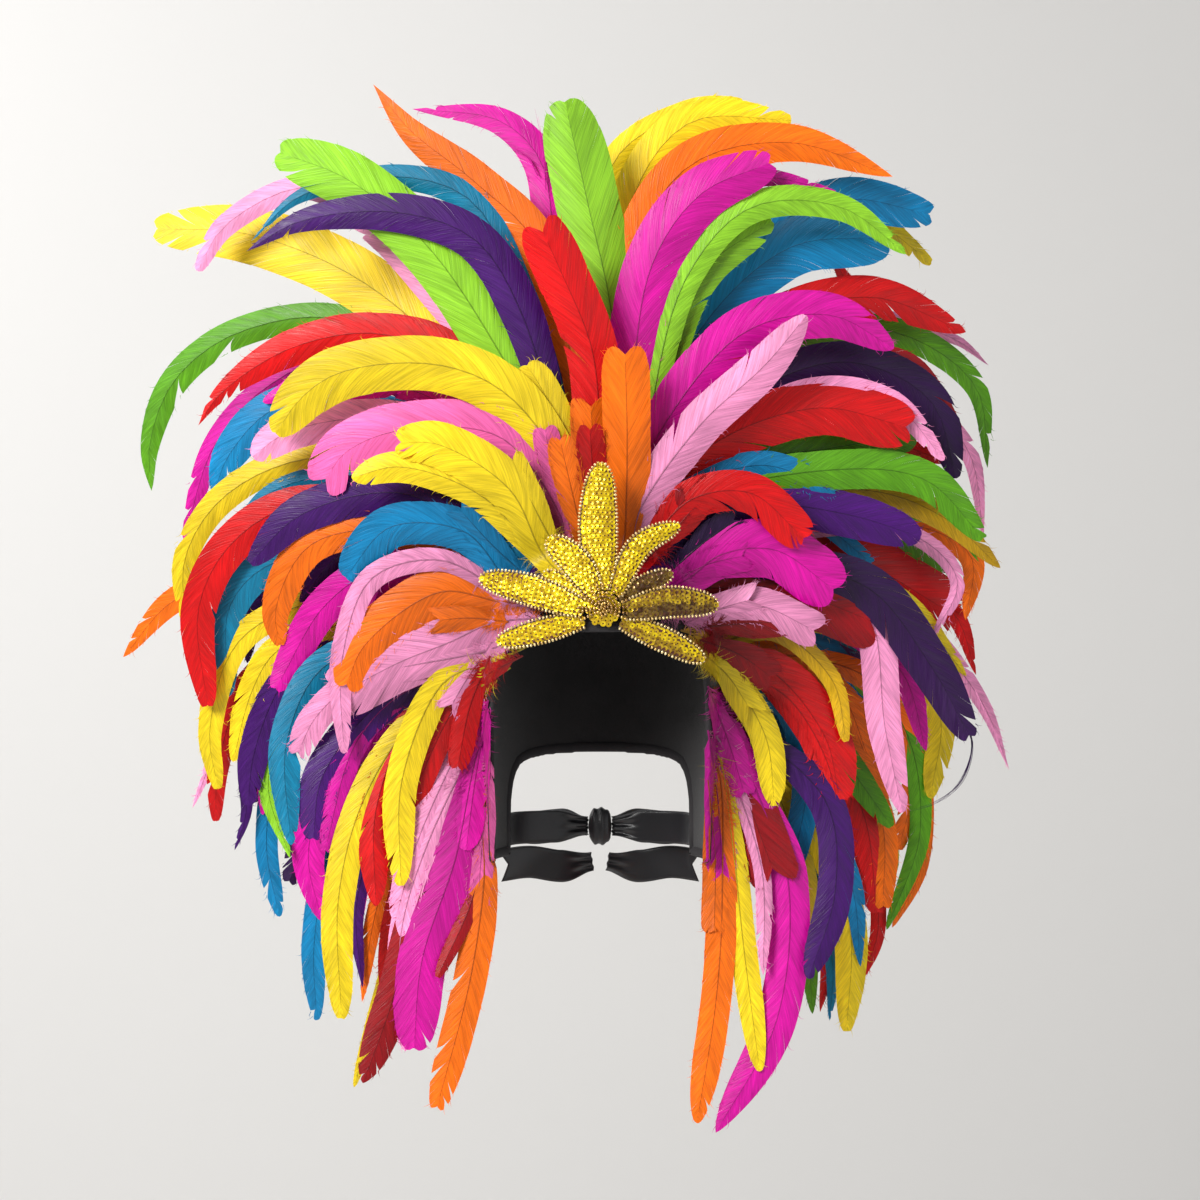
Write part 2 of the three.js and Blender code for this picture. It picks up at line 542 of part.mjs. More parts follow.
function featherRows() {
  const rows = new Map();
  for (const [dye, depth, width, shaft] of [...FEATHERS, ...backFan()]) {
    const { name, sheet } = rowOf(depth, rootAngle(shaft));
    const sheetDepth = 1 + ((DEEPEST - 1) * sheet) / (SHEETS - 1);
    if (!rows.has(name)) rows.set(name, { depth: sheetDepth, feathers: [] });
    rows.get(name).feathers.push({ dye, width, shaft });
  }
  return rows;
}

function featherRow({ depth, feathers }) {
  const angles = feathers.map(({ shaft }) => rootAngle(shaft));
  const overhang = degrees(TAPE_OVERHANG_DEG);
  const strips = feathers.map(({ width, shaft }, i) => {
    return feather(depth, width, shaft, STAGGERS[i % STAGGERS.length]);
  });
  return joined([tape(depth, Math.min(...angles) - overhang, Math.max(...angles) + overhang), ...strips]);
}

function mixedColour(feathers) {
  const mix = new THREE.Color(0, 0, 0);
  const dye = new THREE.Color();
  for (const each of feathers) mix.add(dye.set(DYES[each.dye]).multiplyScalar(1 / feathers.length));
  return mix;
}

// Forehead ornament

function petal(layer, width, middle) {
  const course = middle.map((point) => fromChart(point, (x, z) => petalY(layer, x, z)));
  const curve = flatCurve(course.reverse().map(({ x, z }) => new THREE.Vector3(x, 0, z)));
  return strip(PETAL_SECTION, PETAL_STEPS, (side, face, share) => {
    const point = curve.getPointAt(share);
    const along = curve.getTangentAt(share);
    const swelling = Math.sin(Math.PI * lerp(PETAL_SWELLS.from, PETAL_SWELLS.to, share)) ** PETAL_FULLNESS;
    const swell = lerp(PETAL_BASE_SHARE, 1, swelling);
    const reach = side * (width / 2) * CHART_UNIT * swell * tipClosing(share, PETAL_CLOSES_FROM);
    const x = point.x - along.z * reach;
    const z = point.z + along.x * reach;
    return { x, y: petalY(layer, x, z) - face * PETAL_THICKNESS, z };
  });
}

// A boss from the felt to just proud of the petals round it.
function ornamentCentre() {
  const centre = fromChart(ORNAMENT_CENTRE, (x, z) => petalY(1, x, z));
  const frontY = (x, z) => petalY(1, x, z) - PETAL_THICKNESS - ORNAMENT_STANDS_PROUD;
  const disc = new THREE.Shape().absarc(0, 0, ORNAMENT_RADIUS, 0, Math.PI * 2);
  const geometry = new THREE.ExtrudeGeometry(disc, { depth: 1, bevelEnabled: false, curveSegments: 14 });
  const position = geometry.attributes.position;
  for (let i = 0; i < position.count; i += 1) {
    const x = centre.x + position.getX(i);
    const z = centre.z + position.getY(i);
    position.setXYZ(i, x, lerp(hoodFrontY(x, z) - ORNAMENT_GAP, frontY(x, z), position.getZ(i)), z);
  }
  return toManifold(geometry);
}

// Ribbons

function ribbon(points, steps) {
  const curve = new THREE.CatmullRomCurve3(points, false, 'centripetal');
  const up = new THREE.Vector3(0, 0, 1);
  return strip(FLAT_SECTION, steps, (side, face, share) => {
    const along = curve.getTangentAt(share);
    const across = up.clone().addScaledVector(along, -up.dot(along)).normalize();
    const out = new THREE.Vector3().crossVectors(along, across);
    const point = curve.getPointAt(share);
    point.addScaledVector(across, side * RIBBON_WIDTH);
    return point.addScaledVector(out, face * RIBBON_THICKNESS);
  });
}

function mirrored(points, side) {
  return points.map(([x, y, z]) => new THREE.Vector3(side * x, y, z));
}

// From the outside of the cheek piece's rear edge round the back of the neck to the knot.
function tie(side) {
  const upperEdge = TIE_Z + RIBBON_WIDTH / 2;
  const taper = 1 - (HEM_TAPER * (HEAD_CENTRE_Z - upperEdge)) / (HEAD_CENTRE_Z - HEM_Z);
  const stand = RIBBON_GAP + RIBBON_THICKNESS / 2;
  const points = [37, 43, 50].map((y) => {
    const along = y / ((HEAD_HALF_DEPTH + FELT) * taper);
    return [(HEAD_HALF_WIDTH + FELT) * taper * Math.sqrt(1 - along * along) + stand, y, TIE_Z];
  });
  points.push([55, 66, TIE_Z], [34, 78, TIE_Z], [KNOT_HALF.x + RIBBON_GAP, BOW_Y, TIE_Z]);
  return ribbon(mirrored(points, side), 12);
}

function bowLoop(side) {
  const near = KNOT_HALF.x + RIBBON_GAP;
  const points = [[near, BOW_Y + 1.6, TIE_Z], [25, 89, TIE_Z], [44, 92, TIE_Z - 2], [50, 97, TIE_Z - 2]];
  points.push([42, 103, TIE_Z - 2], [24, 98, TIE_Z], [near, BOW_Y + 3.4, TIE_Z]);
  return ribbon(mirrored(points, side), 18);
}

function bowTail(side) {
  const top = TIE_Z - KNOT_HALF.z;
  const points = [[5, BOW_Y + 1, top - 11.4], [26, BOW_Y + 6, top - 15], [48, BOW_Y + 4, top - 12]];
  points.push([68, BOW_Y - 2, top - 14]);
  return ribbon(mirrored(points, side), 8);
}

function knot() {
  const { x, y, z } = KNOT_HALF;
  const bevel = 2;
  const corners = [[-1, -1], [1, -1], [1, 1], [-1, 1]];
  const shape = polygon(corners.map(([a, b]) => [a * (x - bevel), b * (y - bevel)]));
  const depth = 2 * (z - bevel);
  const options = { depth, bevelEnabled: true, bevelSize: bevel, bevelThickness: bevel, bevelSegments: 2 };
  const geometry = new THREE.ExtrudeGeometry(shape, options);
  geometry.translate(0, BOW_Y, TIE_Z - depth / 2);
  return toManifold(geometry);
}

// The headdress

const headdress = new THREE.Group();

function addPiece(name, solid, color, roughness, metalness = 0) {
  const material = new THREE.MeshStandardMaterial({ color, roughness, metalness });
  const mesh = new THREE.Mesh(toGeometry(solid), material);
  mesh.name = name;
  headdress.add(mesh);
}

addPiece('felt_hood', hood(), FELT_BLACK, 0.95);
for (const [name, row] of featherRows()) addPiece(name, featherRow(row), mixedColour(row.feathers), 0.6);
PETALS.forEach(([name, width, middle], i) => {
  addPiece(name, petal(i % 2, width, middle), SEQUIN_GOLD, 0.35, 0.3);
});
addPiece('ornament_centre', ornamentCentre(), BEAD_BRONZE, 0.35, 0.4);
addPiece('bow_knot', knot(), SATIN_BLACK, 0.4);
for (const [side, sign] of [['left', -1], ['right', 1]]) {
  addPiece(`tie_${side}`, tie(sign), SATIN_BLACK, 0.4);
  addPiece(`bow_loop_${side}`, bowLoop(sign), SATIN_BLACK, 0.4);
  addPiece(`bow_tail_${side}`, bowTail(sign), SATIN_BLACK, 0.4);
}

export default headdress;
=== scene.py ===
# A carnival headdress: a felt hood edged with rows of dyed cock feathers, a sequinned ornament on
# the forehead and satin ties at the nape. Metres, +Z up, the face looks along -Y.
import math
import random

import bmesh
import bpy
import numpy as np
from mathutils import Matrix, Vector


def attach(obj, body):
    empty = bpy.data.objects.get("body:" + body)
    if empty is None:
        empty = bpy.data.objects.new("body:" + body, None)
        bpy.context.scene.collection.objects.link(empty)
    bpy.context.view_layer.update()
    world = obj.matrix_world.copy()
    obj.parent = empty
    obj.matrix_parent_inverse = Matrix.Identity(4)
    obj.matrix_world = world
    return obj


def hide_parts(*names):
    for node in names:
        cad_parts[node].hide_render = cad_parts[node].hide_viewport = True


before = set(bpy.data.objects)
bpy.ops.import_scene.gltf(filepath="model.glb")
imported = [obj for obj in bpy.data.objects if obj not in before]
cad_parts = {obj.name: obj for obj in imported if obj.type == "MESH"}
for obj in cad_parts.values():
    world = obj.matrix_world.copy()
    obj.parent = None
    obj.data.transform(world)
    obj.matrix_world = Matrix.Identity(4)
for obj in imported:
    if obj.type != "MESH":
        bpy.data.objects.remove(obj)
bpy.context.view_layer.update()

# Camera
# It stands straight in front of the face, level with the middle of the fan, and far enough off
# that the headdress fills the picture as it does on its display head.
VIEW_DISTANCE = 2.0
CHART_UNIT = 0.00065
CHART_CENTRE = 600
CHART_CENTRE_Z = -0.048
SENSOR_MM = 36

camera_data = bpy.data.cameras.new("camera")
camera_data.sensor_width = SENSOR_MM
camera_data.lens = SENSOR_MM * VIEW_DISTANCE / (2 * CHART_CENTRE * CHART_UNIT)
camera = bpy.data.objects.new("camera", camera_data)
camera.location = (0, -VIEW_DISTANCE, CHART_CENTRE_Z)
camera.rotation_euler = (math.pi / 2, 0, 0)
bpy.context.scene.collection.objects.link(camera)
bpy.context.scene.camera = camera

# Hood
# Black wool felt pressed over a head block: it comes to the brow, runs down past the cheeks in
# two pieces and leaves the nape open. A folded tape binds its whole edge.
HEAD_HALF_WIDTH = 0.076
HEAD_HALF_DEPTH = 0.095
HEAD_CROWN_HEIGHT = 0.095
HEAD_CENTRE_Z = -HEAD_CROWN_HEIGHT
FELT = 0.0022
HEM_Z = -0.217
HEM_TAPER = 0.09
HOOD_COLUMNS = 160
HOOD_ROWS = 44
BINDING_WIDTH = 0.0035
BINDING_STANDS = 0.0011


def bend(start, control, end, steps=8):
    """Points of a quadratic curve, without its start."""
    points = []
    for i in range(1, steps + 1):
        t = i / steps
        shares = ((1 - t) ** 2, 2 * t * (1 - t), t * t)
        points.append(tuple(sum(k * p for k, p in zip(shares, way)) for way in zip(start, control, end)))
    return points


# The two cut edges seen from the side, as (y, z): brow to jaw, and nape.
FACE_EDGE = [(-0.110, -0.066), (-0.092, -0.067)]
FACE_EDGE += bend((-0.092, -0.067), (-0.066, -0.072), (-0.052, -0.092))
FACE_EDGE += bend((-0.052, -0.092), (-0.038, -0.116), (-0.030, -0.160))
FACE_EDGE += [(-0.014, HEM_Z)]
NAPE_EDGE = [(0.046, HEM_Z)]
NAPE_EDGE += bend((0.046, HEM_Z), (0.046, -0.172), (0.062, -0.158))
NAPE_EDGE += bend((0.062, -0.158), (0.074, -0.150), (0.110, -0.150))


def hem_taper(z):
    """How far the wall draws in below the level of the temples."""
    return 1 - HEM_TAPER * np.maximum(0, HEAD_CENTRE_Z - z) / (HEAD_CENTRE_Z - HEM_Z)


def outside_hood(x, y, z):
    if z > FELT or z < HEM_Z:
        return True
    above = max(0, z - HEAD_CENTRE_Z) / (HEAD_CROWN_HEIGHT + FELT)
    across = x / ((HEAD_HALF_WIDTH + FELT) * hem_taper(z))
    along = y / ((HEAD_HALF_DEPTH + FELT) * hem_taper(z))
    return across * across + along * along + above * above > 1


def dome_y(x, z):
    """The front of the felt at a point of the front view, and 0 outside the hood's outline."""
    above = np.maximum(0, z - HEAD_CENTRE_Z) / (HEAD_CROWN_HEIGHT + FELT)
    across = x / ((HEAD_HALF_WIDTH + FELT) * hem_taper(z))
    inward = np.sqrt(np.maximum(0, 1 - across * across - above * above))
    front = -(HEAD_HALF_DEPTH + FELT) * hem_taper(z) * inward
    edge_y, edge_z = np.array(FACE_EDGE[::-1]).T
    return np.where(z < HEM_Z, 0, np.maximum(front, np.interp(z, edge_z, edge_y)))


def inside_cut(y, z):
    """Whether a point of the side view lies on the felt."""
    face_y, face_z = np.array(FACE_EDGE[::-1]).T
    nape_y, nape_z = np.array(NAPE_EDGE).T
    behind_face = (z > face_z[-1]) | (y > np.interp(z, face_z, face_y))
    before_nape = (z > nape_z[-1]) | (y < np.interp(z, nape_z, nape_y))
    return behind_face & before_nape & (z >= HEM_Z)


def hood_meridian(turn):
    """The felt's outside from the crown down to its cut edge, at a turn about the head."""
    rise = np.linspace(math.pi / 2, 0, 160)
    dome_z = HEAD_CENTRE_Z + (HEAD_CROWN_HEIGHT + FELT) * np.sin(rise)
    wall_z = np.linspace(HEAD_CENTRE_Z, HEM_Z, 200)[1:]
    z = np.concatenate([dome_z, wall_z])
    full = np.concatenate([np.cos(rise), hem_taper(wall_z)])
    x = (HEAD_HALF_WIDTH + FELT) * full * math.sin(turn)
    y = -(HEAD_HALF_DEPTH + FELT) * full * math.cos(turn)
    cut = inside_cut(y, z)
    last = len(z) if cut.all() else max(2, int(np.argmin(cut)))
    line = np.column_stack([x, y, z])[:last]
    run = np.concatenate([[0], np.cumsum(np.linalg.norm(np.diff(line, axis=0), axis=1))])
    return line, run / run[-1]


def hood_edge(turn):
    line, run = hood_meridian(turn)
    return Vector([float(np.interp(1, run, line[:, k])) for k in range(3)])


def hood_normal(place):
    scales = (HEAD_HALF_WIDTH, HEAD_HALF_DEPTH, HEAD_CROWN_HEIGHT)
    height = max(0, place.z - HEAD_CENTRE_Z)
    return Vector((place.x / scales[0] ** 2, place.y / scales[1] ** 2, height / scales[2] ** 2)).normalized()


class Nodes:
    """Adds nodes and links to a tree with little writing."""

    def __init__(self, tree):
        self.tree = tree

    def add(self, kind, values=None, **settings):
        node = self.tree.nodes.new(kind if kind.startswith("Node") else "ShaderNode" + kind)
        for key, value in settings.items():
            setattr(node, key, value)
        for key, value in (values or {}).items():
            if isinstance(value, bpy.types.NodeSocket):
                self.tree.links.new(value, node.inputs[key])
            else:
                node.inputs[key].default_value = value
        return node

    def link(self, output, socket):
        self.tree.links.new(output, socket)

    def mark(self, name):
        """The value that each point of the mesh carries under a name."""
        return self.add("Attribute", attribute_name=name).outputs["Fac"]

    def noise(self, place, scale, detail, distortion=0.0):
        values = {"Vector": place, "Scale": scale, "Detail": detail, "Distortion": distortion}
        return self.add("TexNoise", values).outputs["Fac"]

    def span(self, value, to_low, to_high, low=0.0, high=1.0):
        """Stretches the range from low to high over the range from to_low to to_high."""
        values = {"Value": value, "From Min": low, "From Max": high, "To Min": to_low, "To Max": to_high}
        return self.add("MapRange", values).outputs[0]

    def times(self, first, second):
        return self.add("Math", {0: first, 1: second}, operation="MULTIPLY").outputs[0]

    def blend(self, share, dark, light):
        return self.add("Mix", {0: share, 6: dark, 7: light}, data_type="RGBA").outputs[2]

    def bump(self, height, strength, distance, shader):
        raised = self.add("Bump", {"Height": height, "Strength": strength, "Distance": distance})
        self.link(raised.outputs[0], shader.inputs["Normal"])


def make_group(name, inputs, outputs):
    """A node group with named sockets: (name, kind, default) for each input."""
    group = bpy.data.node_groups.new(name, "ShaderNodeTree")
    for label, kind, default in inputs:
        group.interface.new_socket(name=label, in_out="INPUT", socket_type=kind).default_value = default
    for label, kind in outputs:
        group.interface.new_socket(name=label, in_out="OUTPUT", socket_type=kind)
    nodes = Nodes(group)
    return group, nodes, nodes.add("NodeGroupInput").outputs, nodes.add("NodeGroupOutput").inputs


def plain_material(name, colour, roughness, **shader_values):
    """A principled material and its nodes, ready for a finish to be linked in."""
    material = bpy.data.materials.new(name)
    material.use_nodes = True
    shader = material.node_tree.nodes["Principled BSDF"]
    shader.inputs["Base Color"].default_value = (*colour, 1)
    shader.inputs["Roughness"].default_value = roughness
    for key, value in shader_values.items():
        shader.inputs[key.replace("_", " ")].default_value = value
    return material, Nodes(material.node_tree), shader


def new_object(name, mesh, materials, smooth=True):
    """Turns a bmesh into an object of the scene."""
    data = bpy.data.meshes.new(name)
    mesh.to_mesh(data)
    mesh.free()
    for material in materials:
        data.materials.append(material)
    data.polygons.foreach_set("use_smooth", [smooth] * len(data.polygons))
    made = bpy.data.objects.new(name, data)
    bpy.context.scene.collection.objects.link(made)
    return made


GRIDS = {}
SEAM = 1e-6


def unit_grid(columns, rows):
    """Shares across and along, and the faces, of a grid that is made once and then reused."""
    if (columns, rows) not in GRIDS:
        mesh = bmesh.new()
        bmesh.ops.create_grid(mesh, x_segments=columns, y_segments=rows, size=0.5)
        points = np.array([point.co for point in mesh.verts]) + 0.5
        faces = np.array([[point.index for point in face.verts] for face in mesh.faces])
        mesh.free()
        GRIDS[columns, rows] = points[:, 0], points[:, 1], faces
    return GRIDS[columns, rows]


class Piece:
    """Many grids joined into one mesh, with the place and the marks of every point."""

    def __init__(self, name):
        self.name = name
        self.total = 0
        self.places = []
        self.marks = {"across": [], "along": [], "tone": [], "quill": []}
        self.faces = []
        self.slots = []
        self.materials = []

    def grid(self, columns, rows):
        """Adds a grid and gives each point's share across and along, from 0 to 1."""
        across, along, faces = unit_grid(columns, rows)
        self.faces.append(faces + self.total)
        self.total += len(across)
        return across, along

    def shape(self, x, y, z, material, across=0.0, along=0.0, tone=0.5, quill=0.0):
        self.places.append(np.column_stack([x, y, z]))
        for mark, value in (("across", across), ("along", along), ("tone", tone), ("quill", quill)):
            self.marks[mark].append(np.broadcast_to(value, x.shape))
        if material not in self.materials:
            self.materials.append(material)
        self.slots += [self.materials.index(material)] * len(self.faces[-1])

    def finish(self, closed=False):
        """Makes the object. A closed piece has its seams welded and its faces turned outwards."""
        faces = np.concatenate(self.faces)
        mesh = bpy.data.meshes.new(self.name)
        mesh.vertices.add(self.total)
        mesh.vertices.foreach_set("co", np.concatenate(self.places).ravel())
        mesh.loops.add(faces.size)
        mesh.loops.foreach_set("vertex_index", faces.ravel())
        mesh.polygons.add(len(faces))
        mesh.polygons.foreach_set("loop_start", np.arange(len(faces)) * 4)
        mesh.update(calc_edges=True)
        for mark, values in self.marks.items():
            layer = mesh.attributes.new(mark, "FLOAT", "POINT")
            layer.data.foreach_set("value", np.concatenate(values))
        for material in self.materials:
            mesh.materials.append(material)
        mesh.polygons.foreach_set("material_index", self.slots)
        mesh.polygons.foreach_set("use_smooth", [True] * len(faces))
        if closed:
            shell = bmesh.new()
            shell.from_mesh(mesh)
            bmesh.ops.remove_doubles(shell, verts=shell.verts, dist=SEAM)
            bmesh.ops.recalc_face_normals(shell, faces=shell.faces)
            if shell.calc_volume(signed=True) < 0:
                bmesh.ops.reverse_faces(shell, faces=shell.faces)
            shell.to_mesh(mesh)
            shell.free()
        piece = bpy.data.objects.new(self.name, mesh)
        bpy.context.scene.collection.objects.link(piece)
        return piece


# Felt, tape and backing cloth all show fine fibres, in patches on the felt.
fibres, nodes, given, put = make_group(
    "fibres",
    [
        ("Scale", "NodeSocketFloat", 900),
        ("Detail", "NodeSocketFloat", 2),
        ("Distortion", "NodeSocketFloat", 0),
        ("Patches", "NodeSocketFloat", 0),
        ("Dark", "NodeSocketColor", (0, 0, 0, 1)),
        ("Light", "NodeSocketColor", (1, 1, 1, 1)),
    ],
    [("Color", "NodeSocketColor"), ("Height", "NodeSocketFloat")],
)
PATCH_SCALE = 45
spots = nodes.add("TexCoord").outputs["Object"]
nap = nodes.noise(spots, given["Scale"], given["Detail"], given["Distortion"])
patches = nodes.span(given["Patches"], 1, nodes.noise(spots, PATCH_SCALE, 3))
nodes.link(nodes.blend(nodes.times(nap, patches), given["Dark"], given["Light"]), put["Color"])
nodes.link(nap, put["Height"])

tape_material, nodes, shader = plain_material("bias_tape", (0.02, 0.018, 0.02), 0.9)
weave = nodes.add("Group", node_tree=fibres)
weave.inputs["Scale"].default_value = 1800
weave.inputs["Dark"].default_value = (0.008, 0.007, 0.008, 1)
weave.inputs["Light"].default_value = (0.03, 0.027, 0.03, 1)
nodes.link(weave.outputs["Color"], shader.inputs["Base Color"])
nodes.bump(weave.outputs["Height"], 0.4, 0.0003, shader)

felt, nodes, shader = plain_material("wool_felt", (0.012, 0.011, 0.012), 0.95, Sheen_Weight=0.12)
shader.inputs["Sheen Roughness"].default_value = 0.6
nap = nodes.add("Group", node_tree=fibres)
nap.inputs["Detail"].default_value = 4
nap.inputs["Distortion"].default_value = 1.5
nap.inputs["Patches"].default_value = 1
nap.inputs["Dark"].default_value = (0.006, 0.0055, 0.006, 1)
nap.inputs["Light"].default_value = (0.035, 0.031, 0.034, 1)
nodes.link(nap.outputs["Color"], shader.inputs["Base Color"])
nodes.bump(nap.outputs["Height"], 0.5, 0.0004, shader)

hood_mesh = bmesh.new()
made = bmesh.ops.create_grid(hood_mesh, x_segments=HOOD_COLUMNS, y_segments=HOOD_ROWS, size=0.5)
meridians = {}
for point in made["verts"]:
    turn = round((point.co.x + 0.5) * HOOD_COLUMNS) % HOOD_COLUMNS
    if turn not in meridians:
        meridians[turn] = hood_meridian(turn * math.tau / HOOD_COLUMNS)
    line, run = meridians[turn]
    share = point.co.y + 0.5
    point.co = [float(np.interp(share, run, line[:, k])) for k in range(3)]
bmesh.ops.remove_doubles(hood_mesh, verts=hood_mesh.verts, dist=SEAM)
bmesh.ops.recalc_face_normals(hood_mesh, faces=hood_mesh.faces)
inside = Vector((0, 0, HEAD_CENTRE_Z))
if sum(face.normal.dot(face.calc_center_median() - inside) for face in hood_mesh.faces) < 0:
    bmesh.ops.reverse_faces(hood_mesh, faces=hood_mesh.faces)
bmesh.ops.solidify(hood_mesh, geom=hood_mesh.faces, thickness=FELT)
hood = new_object("hood_felt", hood_mesh, [felt])

BINDING_STEPS = 240
BINDING_COLUMNS = 10
BINDING_REACH = 0.7 * BINDING_WIDTH
edge = [hood_edge(i * math.tau / BINDING_STEPS) for i in range(BINDING_STEPS)]
binding = Piece("hood_binding")
u, share = binding.grid(BINDING_COLUMNS, BINDING_STEPS)
places = []
for side, along in zip(u * math.tau, share):
    i = round(along * BINDING_STEPS)
    here, ahead, behind = edge[i % BINDING_STEPS], edge[(i + 1) % BINDING_STEPS], edge[i - 1]
    normal = hood_normal(here)
    tangent = (ahead - behind).normalized()
    down = tangent.cross(normal).normalized()
    middle = here - normal * FELT / 2 - down * (BINDING_REACH if down.z < 0 else -BINDING_REACH)
    outward = normal * math.sin(side) * (FELT / 2 + BINDING_STANDS)
    places.append(middle + outward + down * math.cos(side) * BINDING_WIDTH)
binding.shape(*np.array(places).T, tape_material)
binding = binding.finish(closed=True)
for piece in (hood, binding):
    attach(piece, "root")
    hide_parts("felt_hood")

# Feather rows
# Each row is cock tail feathers, dyed by hand and strung on a tape that is sewn round the hood.
# The rows stand one behind the other, and the further back a row is, the more it leans back.
FRONT_ROW_Y = -0.038
ROW_SPREAD = 0.060
DEEPEST = 8
LEAN_FRONT = 0.02
LEAN_PER_DEPTH = 0.07
CREST_TILT = 0.26
TILT_LEVEL_Z = -0.075
TILT_EASES_Z = -0.120
TILT_ENDS_Z = -0.240
ARCH_HALF_WIDTH = 0.060
ARCH_TOP_Z = -0.076
ARCH_FOOT_Z = -0.215
TAPE_WIDTH = 0.007
TAPE_THICKNESS = 0.0016
TAPE_GAP = 0.00045
HEAD_CENTRE_V = CHART_CENTRE + (CHART_CENTRE_Z - HEAD_CENTRE_Z) / CHART_UNIT
REGIONS = [("crest", 30, 6), ("high", 92, 6), ("low", 180, 4)]  # name, last root angle, rows
SHEETS = 18


def tilt_y(z):
    """The crest leans forwards, and the feathers below the jaw hang straight."""
    run = TILT_EASES_Z - TILT_ENDS_Z
    left = np.maximum(0, z - TILT_ENDS_Z)
    start = -CREST_TILT * (TILT_EASES_Z - TILT_LEVEL_Z)
    eased = start + CREST_TILT * (run * run - left * left) / (2 * run)
    return np.where(z >= TILT_EASES_Z, -CREST_TILT * (z - TILT_LEVEL_Z), eased)


def outside_arch(x, z):
    """How far a point of the front view lies outside the arch of the face."""
    beyond = np.maximum(0, z - ARCH_TOP_Z) + np.maximum(0, ARCH_FOOT_Z - z)
    return np.maximum(0, np.hypot(x, beyond) - ARCH_HALF_WIDTH)


def sheet_y(depth, x, z):
    """How far back the row at a depth lies, at a point of the front view."""
    start = FRONT_ROW_Y + ROW_SPREAD * (depth - 1) / (DEEPEST - 1)
    lean = LEAN_FRONT + LEAN_PER_DEPTH * (depth - 1)
    return start + tilt_y(z) + lean * outside_arch(x, z)


def from_chart(u, v, surface_y):
    """A point of the front view, in chart units, as a place on a surface."""
    y = 0
    for _ in range(4):
        scale = CHART_UNIT * (VIEW_DISTANCE + y) / VIEW_DISTANCE
        x = (u - CHART_CENTRE) * scale
        z = CHART_CENTRE_Z + (CHART_CENTRE - v) * scale
        y = float(surface_y(x, z))
    return x, z


def around_head(angle, distance):
    return math.sin(angle) * distance, HEAD_CENTRE_Z + math.cos(angle) * distance


def seat_distance(angle, depth):
    """How far from the head's centre a row's tape meets the hood."""
    for step in range(160, 800):
        distance = step * 0.00025
        x, z = around_head(angle, distance)
        y = float(sheet_y(depth, x, z))
        half = TAPE_THICKNESS / 2
        if outside_hood(x, y - half, z) and outside_hood(x, y + half, z):
            return distance + TAPE_GAP
    raise ValueError("a row misses the hood")


def root_angle(shaft):
    u, v = shaft[-1]
    return math.atan2(u - CHART_CENTRE, HEAD_CENTRE_V - v)


def smoothstep(value, low, high):
    share = np.clip((value - low) / (high - low), 0, 1)
    return share * share * (3 - 2 * share)


